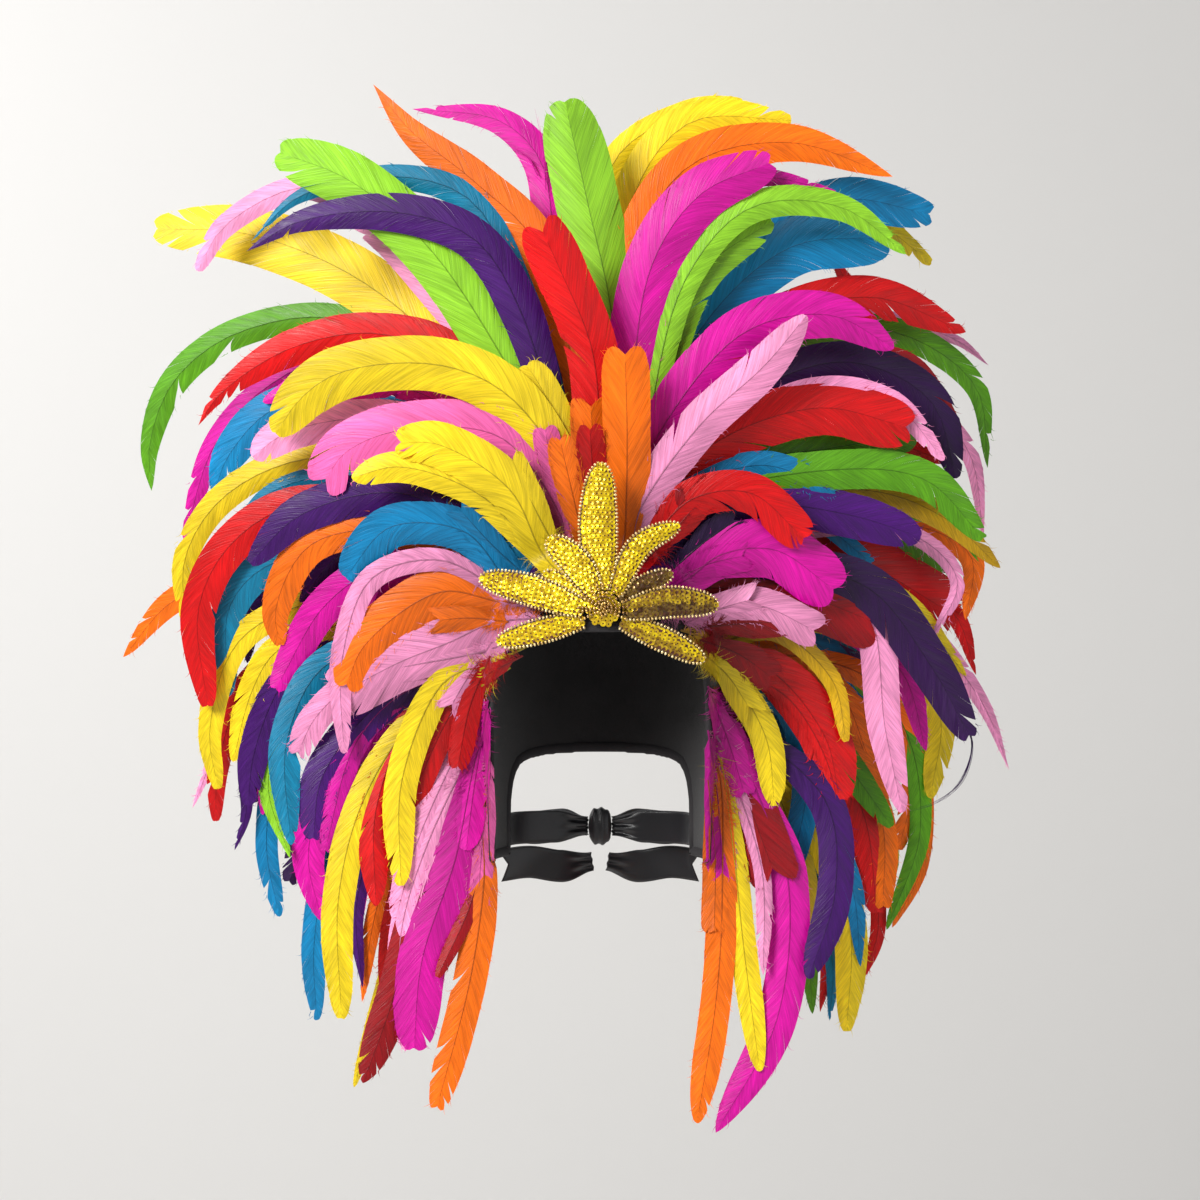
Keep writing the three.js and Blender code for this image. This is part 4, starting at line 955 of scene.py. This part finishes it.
def row_of(depth, angle):
    """The name and the sheet of the row that a feather belongs to."""
    region = next(k for k, (_, last, _) in enumerate(REGIONS) if abs(math.degrees(angle)) <= last)
    name, _, most = REGIONS[region]
    row = min(int(depth), most)
    if (name, row) == ("high", 5):
        row = 6
    side = "" if region == 0 else ("left_" if angle < 0 else "right_")
    return f"{side}{name}_row_{row}", (row - 1) * len(REGIONS) + region


# Long loose hairs where a vane is worn: row, dye, and their course from the vane to the end.
FRAYED_TIPS = [
    ("right_high_row_2", "darkpurple", [[958, 712], [972, 742], [962, 780], [938, 802], [907, 812]]),
    ("right_high_row_2", "pink", [[975, 690], [986, 715], [996, 735], [1004, 762]]),
    ("crest_row_5", "magenta", [[546, 190], [544, 160], [540, 128], [534, 100]]),
    ("crest_row_5", "magenta", [[538, 176], [528, 158], [514, 148], [500, 140]]),
]
FRAYED_HAIRS = 9


def add_frayed_tip(piece, dye, depth, course_points, chance):
    """Bare barbs that trail from a worn tip in a loose bunch."""
    surface = lambda x, z: sheet_y(depth, x, z) - 0.006
    for _ in range(FRAYED_HAIRS):
        spread = chance.uniform(0.2, 1)
        points = []
        for k, (u, v) in enumerate(course_points):
            stray = 4 * spread * k / len(course_points)
            x, z = from_chart(u + chance.uniform(-stray, stray), v + chance.uniform(-stray, stray), surface)
            points.append((x, z))
        course = Course(points)
        u, share = piece.grid(1, 20)
        x, z, dx, dz = course.at(share * (0.45 + 0.55 * spread))
        out = (2 * u - 1) * 0.00028 * (1.1 - share)
        x, z = x - dz * out, z + dx * out
        y = surface(x, z) + chance.uniform(-0.004, 0.004) * share
        piece.shape(x, y, z, feather_materials[dye], 0.5, share * course.length + 0.1, chance.random())


rows = {}
for number, (dye, depth, width, shaft) in enumerate(FEATHERS):
    node, sheet = row_of(depth, root_angle(shaft))
    rows.setdefault(node, (1 + (DEEPEST - 1) * sheet / (SHEETS - 1), []))[1].append((depth, number))

for node, (depth, members) in rows.items():
    piece = Piece(node + "_feathers")
    chance = random.Random(len(members))
    members.sort()
    for order, (_, number) in enumerate(members):
        dye, _, width, shaft = FEATHERS[number]
        rank = 2 * order / (len(members) - 1) - 1 if len(members) > 1 else 0
        add_feather(piece, dye, depth, members[order][0], width, shaft, rank, random.Random(number))
    for number, (dye, width, shaft) in enumerate(HACKLES):
        if row_of(1, root_angle(shaft))[0] == node:
            rank = chance.uniform(-1, 1)
            add_feather(piece, dye, depth, 1, width, shaft, rank, random.Random(500 + number), on_felt=True)
    for frayed_row, dye, course_points in FRAYED_TIPS:
        if frayed_row == node:
            add_frayed_tip(piece, dye, depth, course_points, chance)
    angles = [root_angle(FEATHERS[number][3]) for _, number in members]
    first, last = min(angles) - math.radians(2.5), max(angles) + math.radians(2.5)
    steps = max(3, math.ceil((last - first) / math.radians(4)))
    u, share = piece.grid(2, steps)
    turn = first + (last - first) * share
    distance = np.array([seat_distance(a, depth) for a in turn]) + TAPE_WIDTH * u
    x = np.sin(turn) * distance
    z = HEAD_CENTRE_Z + np.cos(turn) * distance
    piece.shape(x, sheet_y(depth, x, z) + 0.0016, z, tape_material)
    feathers = piece.finish()
    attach(feathers, "root")
    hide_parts(node)

# Forehead ornament
# Nine padded petals spread like a flower over the brow. Each is covered with gold cup sequins,
# sewn on in rows that overlap towards the tip, and edged with a string of pale gold beads.
PETALS = [
    # node, width in chart units, middle line from the tip to the base, sequins of the upper
    # half over those of the lower half, where bronze and dark are gold sequins with painted shade and deeper
    # painted shade
    ("petal_left_brow", 22, [(497, 642), (540, 631), (584, 620)], "gold"),
    ("petal_left_outer", 28, [(480, 578), (530, 590), (584, 609)], "gold"),
    ("petal_left_inner", 20, [(544, 573), (567, 588), (587, 600)], "gold"),
    ("petal_left_top", 28, [(548, 539), (575, 562), (595, 593)], "gold"),
    ("petal_middle", 35, [(601, 463), (598, 530), (603, 590)], "gold"),
    ("petal_right_top", 22, [(679, 525), (640, 546), (615, 594)], "gold"),
    ("petal_right_inner", 18, [(672, 573), (645, 585), (620, 601)], "dark"),
    ("petal_right_outer", 28, [(718, 605), (670, 602), (623, 611)], "bronze over dark"),
    ("petal_right_brow", 22, [(704, 660), (665, 640), (621, 621)], "gold over bronze"),
]
PETAL_THICKNESS = 0.0016
PETAL_PITCH = 0.002
PETAL_END = 0.05
PETAL_FRONT_Y = -0.0958
PETAL_LEAN = 0.1
PETAL_LEAN_FROM_Z = -0.070
PETAL_BEND_RADIUS = 0.105
SEQUIN_RADIUS = 0.0019
SEQUIN_HOLE = 0.00052
SEQUIN_PITCH = 0.0029
SEQUIN_CUP = 0.0003
EDGE_BEAD_RADIUS = 0.0011
EDGE_BEAD_PITCH = 0.0023


def petal_y(layer, x, z):
    lean = PETAL_LEAN * (z - PETAL_LEAN_FROM_Z)
    return PETAL_FRONT_Y - PETAL_PITCH * layer + lean + x * x / (2 * PETAL_BEND_RADIUS)


def petal_half_width(share, width):
    swelling = np.sin(math.pi * np.clip(0.86 * share + 0.08, 0, 1)) ** 0.8
    swelling = np.where(share > 0.5, np.maximum(swelling, 1 - 0.8 * (share - 0.5)), swelling)
    closing = np.sqrt(1 - 0.98 * np.clip((share - 0.76) / 0.24, 0, 1) ** 2)
    return width / 2 * CHART_UNIT * (0.3 + 0.7 * swelling) * closing


def template(mesh):
    """The points and faces of a small repeated shape."""
    points = np.array([point.co for point in mesh.verts])
    faces = [[point.index for point in face.verts] for face in mesh.faces]
    mesh.free()
    return points, faces


def sequin_template():
    mesh = bmesh.new()
    bmesh.ops.create_circle(mesh, cap_ends=False, radius=SEQUIN_HOLE, segments=12)
    rim = mesh.edges[:]
    for radius, lift in ((0.6 * SEQUIN_RADIUS, 0.15 * SEQUIN_CUP), (SEQUIN_RADIUS, SEQUIN_CUP)):
        grown = bmesh.ops.extrude_edge_only(mesh, edges=rim)["geom"]
        points = [part for part in grown if isinstance(part, bmesh.types.BMVert)]
        rim = [part for part in grown if isinstance(part, bmesh.types.BMEdge)]
        rim = [edge for edge in rim if all(point in points for point in edge.verts)]
        for point in points:
            flat = point.co.xy.normalized() * radius
            point.co = (flat.x, flat.y, lift)
    mesh.verts.index_update()
    return template(mesh)


def bead_template(radius):
    mesh = bmesh.new()
    bmesh.ops.create_uvsphere(mesh, u_segments=8, v_segments=6, radius=radius)
    bmesh.ops.scale(mesh, verts=mesh.verts, vec=(1, 1, 0.78))
    mesh.verts.index_update()
    return template(mesh)


SEQUIN = sequin_template()
EDGE_BEAD = bead_template(EDGE_BEAD_RADIUS)
BRONZE_BEAD = bead_template(0.0011)


class Scatter:
    """Many copies of small shapes, joined into one mesh."""

    def __init__(self):
        self.points, self.faces, self.materials, self.slots, self.tones = [], [], [], [], []
        self.total = 0

    def add(self, shape, place, turn, material, tone):
        points, faces = shape
        self.points.append(points @ np.array(turn).T + place)
        self.faces += [[index + self.total for index in face] for face in faces]
        if material not in self.materials:
            self.materials.append(material)
        self.slots += [self.materials.index(material)] * len(faces)
        self.tones += [tone] * len(points)
        self.total += len(points)

    def finish(self, name):
        data = bpy.data.meshes.new(name)
        data.from_pydata(np.concatenate(self.points).tolist(), [], self.faces)
        for material in self.materials:
            data.materials.append(material)
        data.polygons.foreach_set("material_index", self.slots)
        data.polygons.foreach_set("use_smooth", [True] * len(self.faces))
        data.attributes.new("tone", "FLOAT", "POINT").data.foreach_set("value", self.tones)
        made = bpy.data.objects.new(name, data)
        bpy.context.scene.collection.objects.link(made)
        return made


# Every sequin and bead has a tone of its own between two colours.
own_tone, nodes, given, put = make_group(
    "own_tone",
    [("Dark", "NodeSocketColor", (0, 0, 0, 1)), ("Light", "NodeSocketColor", (1, 1, 1, 1))],
    [("Color", "NodeSocketColor")],
)
nodes.link(nodes.blend(nodes.mark("tone"), given["Dark"], given["Light"]), put["Color"])


def toned_material(name, dark, light, roughness, metallic, coat):
    material, nodes, shader = plain_material(name, light, roughness, Metallic=metallic, Coat_Weight=coat)
    toned = nodes.add("Group", node_tree=own_tone)
    toned.inputs["Dark"].default_value = (*dark, 1)
    toned.inputs["Light"].default_value = (*light, 1)
    nodes.link(toned.outputs["Color"], shader.inputs["Base Color"])
    return material


# Gold sequins, and two darker copies of the gold, bronze and dark, that paint shade and deeper shade on the
# petals turned away from the light.
SEQUIN_GOLD_AND_PAINTED_SHADES = {
    "gold": toned_material("sequin_gold", (0.50, 0.30, 0.0), (0.92, 0.68, 0.0), 0.34, 0.5, 0.25),
    "bronze": toned_material("sequin_gold_painted_shade", (0.24, 0.12, 0.0), (0.62, 0.42, 0.01), 0.34, 0.55, 0.25),
    "dark": toned_material("sequin_gold_painted_deep_shade", (0.05, 0.015, 0.0), (0.26, 0.15, 0.01), 0.30, 0.55, 0.3),
}
bead_gold = toned_material("bead_pale_gold", (0.50, 0.30, 0.06), (0.92, 0.74, 0.38), 0.14, 0.4, 0.8)
bead_bronze = toned_material("bead_bronze", (0.22, 0.10, 0.02), (0.72, 0.45, 0.12), 0.16, 0.6, 0.8)
backing_cloth, nodes, shader = plain_material("petal_cloth", (0.10, 0.022, 0.010), 0.85, Sheen_Weight=0.3)
thread = nodes.add("Group", node_tree=fibres)
thread.inputs["Scale"].default_value = 1500
nodes.bump(thread.outputs["Height"], 0.6, 0.0003, shader)


def facing(normal, up):
    """The turn that lays a shape's own Z along normal, with its Y as near to up as it gets."""
    z = Vector(normal).normalized()
    x = Vector(up).cross(z).normalized()
    return Matrix((x, z.cross(x), z)).transposed()


for number, (node, width, middle, sequins) in enumerate(PETALS):
    layer = number % 2
    chance = random.Random(100 + number)
    surface = lambda x, z: petal_y(layer, x, z)
    course = Course([from_chart(u, v, surface) for u, v in reversed(middle)])
    cushion = Piece(node + "_cushion")
    for face in (1, 0):
        u, share = cushion.grid(10, 36)
        side = 2 * u - 1
        x, z, dx, dz = course.at(share)
        reach = side * petal_half_width(share, width)
        x, z = x - dz * reach, z + dx * reach
        ends = np.sqrt(np.clip(np.minimum(share, 1 - share) / PETAL_END, 0, 1))
        bulge = PETAL_THICKNESS * (1 - np.abs(side) ** 2.4) * ends * face
        cushion.shape(x, petal_y(layer, x, z) - bulge, z, backing_cloth)
    cushion = cushion.finish(closed=True)

    trim = Scatter()
    count = int(course.length / SEQUIN_PITCH)
    # Each half of a petal gets gold sequins, or gold sequins with painted shade, as its entry names.
    upper, lower = (SEQUIN_GOLD_AND_PAINTED_SHADES[word] for word in (sequins.split()[0], sequins.split()[-1]))
    for row in range(count):
        share = (count - row - 0.5) / count
        half = float(petal_half_width(share, width)) - EDGE_BEAD_RADIUS
        across = max(1, round(2 * half / SEQUIN_PITCH) + (row % 2))
        for k in range(across):
            side = (k + 0.5) / across * 2 - 1
            x, z, dx, dz = (float(value) for value in course.at(np.array(share)))
            x, z = x - dz * side * half, z + dx * side * half
            y = petal_y(layer, x, z) - PETAL_THICKNESS * (1 - abs(side) ** 2.4) - 0.0003
            lean = 0.22 + chance.uniform(-0.08, 0.08)
            normal = (dx * lean + chance.uniform(-0.12, 0.12) - dz * side * 0.35, -1,
                      dz * lean + chance.uniform(-0.12, 0.12) + dx * side * 0.35)
            # On some petals the sequins of the lower half carry painted shade.
            finish = upper if side * dx > -0.1 else lower
            trim.add(SEQUIN, (x, y, z), facing(normal, (dx, 0, dz)), finish, chance.random())
    share = np.linspace(0, 1, 200)
    x, z, dx, dz = course.at(share)
    reach = petal_half_width(share, width) + EDGE_BEAD_RADIUS * 0.4
    rim = [(x - dz * reach, z + dx * reach), (x + dz * reach, z - dx * reach)]
    rim = np.vstack([np.column_stack(rim[0]), np.column_stack(rim[1])[::-1]])
    run = np.concatenate([[0], np.cumsum(np.linalg.norm(np.diff(rim, axis=0), axis=1))])
    beads = int(run[-1] / EDGE_BEAD_PITCH)
    for k in range(beads):
        at = (k + 0.5) / beads * run[-1]
        bx, bz = (float(np.interp(at, run, rim[:, c])) for c in (0, 1))
        ahead = [float(np.interp(at + 0.001, run, rim[:, c])) - value for c, value in ((0, bx), (1, bz))]
        along = (ahead[0], chance.uniform(-0.0001, 0.0001), ahead[1])
        place = (bx, petal_y(layer, bx, bz) - 0.0008, bz)
        trim.add(EDGE_BEAD, place, facing(along, (0, 1, 0)), bead_gold, chance.random())
    trim = trim.finish(node + "_sequins_and_beads")
    for piece in (cushion, trim):
        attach(piece, "root")
        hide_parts(node)

# The middle of the ornament is a boss heaped with bronze beads, with short strings of them laid
# out over the roots of the petals.
ORNAMENT_RADIUS = 0.011
ORNAMENT_CENTRE = (603, 609)
STRING_COUNT = 15
STRING_BEADS = 5
SEQUINS_ON_BOSS = 46
BEADS_ON_BOSS = 17

chance = random.Random(7)
centre_x, centre_z = from_chart(*ORNAMENT_CENTRE, lambda x, z: petal_y(1, x, z))
boss_front = petal_y(1, centre_x, centre_z) - PETAL_THICKNESS
boss_mesh = bmesh.new()
bmesh.ops.create_uvsphere(boss_mesh, u_segments=32, v_segments=16, radius=ORNAMENT_RADIUS * 0.9)
bmesh.ops.scale(boss_mesh, verts=boss_mesh.verts, vec=(1, 0.42, 1))
bmesh.ops.translate(boss_mesh, verts=boss_mesh.verts, vec=(centre_x, boss_front + 0.0028, centre_z))
boss = new_object("ornament_boss", boss_mesh, [backing_cloth])
beads = Scatter()
for k in range(SEQUINS_ON_BOSS):
    distance = ORNAMENT_RADIUS * 0.92 * math.sqrt((k + 0.5) / SEQUINS_ON_BOSS)
    turn = k * math.pi * (3 - math.sqrt(5))
    out = Vector((math.cos(turn), 0, math.sin(turn)))
    place = Vector((centre_x, boss_front - 0.0012 + 9 * distance ** 2, centre_z)) + out * distance
    turned = facing(out * (0.15 + 30 * distance) - Vector((0, 1, 0)), out)
    beads.add(SEQUIN, place, turned, SEQUIN_GOLD_AND_PAINTED_SHADES["gold"], chance.random())
for k in range(BEADS_ON_BOSS):
    distance = 0.0045 * math.sqrt((k + 0.5) / BEADS_ON_BOSS)
    turn = k * math.pi * (3 - math.sqrt(5))
    place = (centre_x + math.cos(turn) * distance, boss_front - 0.0022, centre_z + math.sin(turn) * distance)
    direction = (chance.uniform(-1, 1), chance.uniform(-0.5, 0.5), chance.uniform(-1, 1))
    beads.add(BRONZE_BEAD, place, facing(direction, (0.1, 1, 0.2)), bead_bronze, chance.random())
for string in range(STRING_COUNT):
    turn = math.radians(-25 + 230 * (string + chance.uniform(-0.3, 0.3)) / (STRING_COUNT - 1))
    for k in range(STRING_BEADS):
        distance = 0.0055 + 0.0024 * k
        x = centre_x + math.cos(turn) * distance
        z = centre_z + math.sin(turn) * distance
        y = boss_front - 0.0021 + 0.00018 * k
        direction = (math.cos(turn), 0, math.sin(turn))
        beads.add(BRONZE_BEAD, (x, y, z), facing(direction, (0, 1, 0)), bead_bronze, chance.random())
beads = beads.finish("ornament_beads")
for piece in (boss, beads):
    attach(piece, "root")
    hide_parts("ornament_centre")

# Ribbon ties
# A black satin ribbon runs from the rear edge of each cheek piece round the back of the neck.
# The two are knotted there in a bow, whose loops and tails are pinched where the knot holds them.
RIBBON_WIDTH = 0.022
RIBBON_THICKNESS = 0.0007
TIE_Z = -0.201
BOW_Y = 0.082
KNOT_HALF = (0.008, 0.0055, 0.0125)
KNOT_GAP = 0.0004

satin, nodes, shader = plain_material("satin", (0.010, 0.010, 0.012), 0.3, Anisotropic=0.5, Sheen_Weight=0.1)
THREADS_PER_METRE = 9000
SELVEDGE_FROM = 0.9
threads = nodes.times(nodes.mark("along"), THREADS_PER_METRE)
ribs = nodes.add("Math", {0: threads}, operation="SINE").outputs[0]
selvedge = nodes.add("Math", {0: nodes.mark("across")}, operation="ABSOLUTE").outputs[0]
selvedge = nodes.add("Math", {0: selvedge, 1: SELVEDGE_FROM}, operation="GREATER_THAN").outputs[0]
height = nodes.add("Math", {0: ribs, 1: selvedge}, operation="ADD").outputs[0]
nodes.bump(height, 0.25, 0.0001, shader)
nodes.link(nodes.span(selvedge, 0.3, 0.6), shader.inputs["Roughness"])


def ribbon(name, points, sign, rows, pinched, notch=0.0, wave=0.0):
    """A ribbon along a line in space. pinched names the ends that the knot gathers, 0 and 1."""
    line = smooth_line(np.array(points) * (sign, 1, 1))
    run = np.concatenate([[0], np.cumsum(np.linalg.norm(np.diff(line, axis=0), axis=1))])
    length = run[-1]
    slope = np.gradient(line, run, axis=0)
    mesh = Piece(name)
    for face in (1, -1):
        u, share = mesh.grid(16, rows)
        side = 2 * u - 1
        inner = (np.abs(side) < 0.999) & (share > 0.001) & (share < 0.999)
        share = share * (1 - notch * (1 - np.abs(side)))
        place = np.column_stack([np.interp(share * length, run, line[:, k]) for k in range(3)])
        tangent = np.column_stack([np.interp(share * length, run, slope[:, k]) for k in range(3)])
        tangent /= np.linalg.norm(tangent, axis=1)[:, None]
        up = np.array([0, 0, 1]) - tangent * tangent[:, 2:3]
        up /= np.linalg.norm(up, axis=1)[:, None]
        out = np.cross(tangent, up)
        gather = np.zeros_like(share)
        for end in pinched:
            away = np.abs(share - end) * length
            gather = np.maximum(gather, 1 - smoothstep(away, 0.001, 0.022))
        reach = side * RIBBON_WIDTH / 2 * (1 - 0.42 * gather)
        pleat = 0.0013 * gather * np.sin(side * math.pi * 2.5)
        ripple = wave * np.sin(share * length * 95 + side * 1.3) * (1 - gather)
        shift = pleat + ripple + face * RIBBON_THICKNESS / 2 * inner
        place = place + up * reach[:, None] + out * shift[:, None]
        mesh.shape(*place.T, satin, side, share * length)
    made = mesh.finish(closed=True)
    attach(made, "root")
    return made, length


for side, sign in (("left", -1), ("right", 1)):
    taper = float(hem_taper(TIE_Z + RIBBON_WIDTH / 2))
    near = KNOT_HALF[0] + KNOT_GAP
    course = []
    for y in (0.037, 0.043, 0.050):
        part = y / ((HEAD_HALF_DEPTH + FELT) * taper)
        course.append(((HEAD_HALF_WIDTH + FELT) * taper * math.sqrt(1 - part * part) + 0.0009, y, TIE_Z))
    course += [(0.055, 0.066, TIE_Z), (0.034, 0.078, TIE_Z), (near, BOW_Y, TIE_Z)]
    tie, length = ribbon("ribbon_tie_" + side, course, sign, 60, (1,))
    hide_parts("tie_" + side)
    course = [(near, BOW_Y + 0.0016, TIE_Z), (0.025, 0.089, TIE_Z), (0.044, 0.092, TIE_Z - 0.002),
              (0.050, 0.097, TIE_Z - 0.002), (0.042, 0.103, TIE_Z - 0.002), (0.024, 0.098, TIE_Z),
              (near, BOW_Y + 0.0034, TIE_Z)]
    loop, length = ribbon("ribbon_loop_" + side, course, sign, 90, (0, 1), wave=0.0004)
    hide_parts("bow_loop_" + side)
    top = TIE_Z - KNOT_HALF[2]
    course = [(0.005, BOW_Y + 0.001, top - 0.0114), (0.026, BOW_Y + 0.006, top - 0.015),
              (0.048, BOW_Y + 0.004, top - 0.012), (0.068, BOW_Y - 0.002, top - 0.014)]
    tail, length = ribbon("ribbon_tail_" + side, course, sign, 60, (0,), notch=0.09, wave=0.0006)
    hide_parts("bow_tail_" + side)

knot = Piece("ribbon_knot")
u, share = knot.grid(18, 48)
side = 2 * u - 1
turn = share * math.tau
fullness = (1 - np.abs(side) ** 3) ** 0.4
pleats = 1 + 0.05 * np.sin(side * math.pi * 3 + 0.6 * np.sin(turn))
x = side * KNOT_HALF[0]
y = BOW_Y + KNOT_HALF[1] * np.sign(np.cos(turn)) * np.abs(np.cos(turn)) ** 0.75 * fullness * pleats
z = TIE_Z + KNOT_HALF[2] * np.sign(np.sin(turn)) * np.abs(np.sin(turn)) ** 0.75 * fullness * pleats
knot.shape(x, y, z, satin, side * 0.8, share * 0.06)
knot = knot.finish(closed=True)
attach(knot, "root")
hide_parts("bow_knot")

# Stage
# A plain pale wall far behind and a pale floor below the view, lit from the left, with soft
# window-like light on the front.
WALL_Y = 3.2
FLOOR_Z = -1.4
STAGE_HALF_WIDTH = 6
pale_paint, _, _ = plain_material("pale_paint", (0.70, 0.692, 0.68), 0.95)
for name, turn, place in (("wall", math.pi / 2, (0, WALL_Y, 0)), ("floor", 0, (0, 0, FLOOR_Z))):
    mesh = bmesh.new()
    lie = Matrix.Translation(place) @ Matrix.Rotation(turn, 4, "X")
    bmesh.ops.create_grid(mesh, x_segments=1, y_segments=1, size=STAGE_HALF_WIDTH, matrix=lie)
    new_object(name, mesh, [pale_paint], smooth=False)


def add_light(name, place, size, power, colour, target=(0, 0, -0.05)):
    data = bpy.data.lights.new(name, "AREA")
    data.size = size
    data.energy = power
    data.color = colour
    light = bpy.data.objects.new(name, data)
    light.location = place
    light.rotation_euler = (Vector(target) - Vector(place)).to_track_quat("-Z", "Y").to_euler()
    bpy.context.scene.collection.objects.link(light)


add_light("wall_wash", (-2.6, 0.9, 1.6), 1.5, 76, (1, 1, 1), (-0.5, WALL_Y, 0))
add_light("key", (-1.5, -2.0, 1.1), 1.0, 92, (1, 0.99, 0.97))
add_light("fill", (1.8, -2.2, 0.2), 2.0, 15, (0.97, 0.98, 1))
add_light("top", (-0.3, 0.2, 2.0), 1.2, 22, (1, 1, 1))
bpy.context.scene.view_settings.view_transform = "Standard"
world = bpy.data.worlds.new("soft_room")
world.use_nodes = True
world.node_tree.nodes["Background"].inputs["Color"].default_value = (1, 0.99, 0.98, 1)
world.node_tree.nodes["Background"].inputs["Strength"].default_value = 0.31
bpy.context.scene.world = world
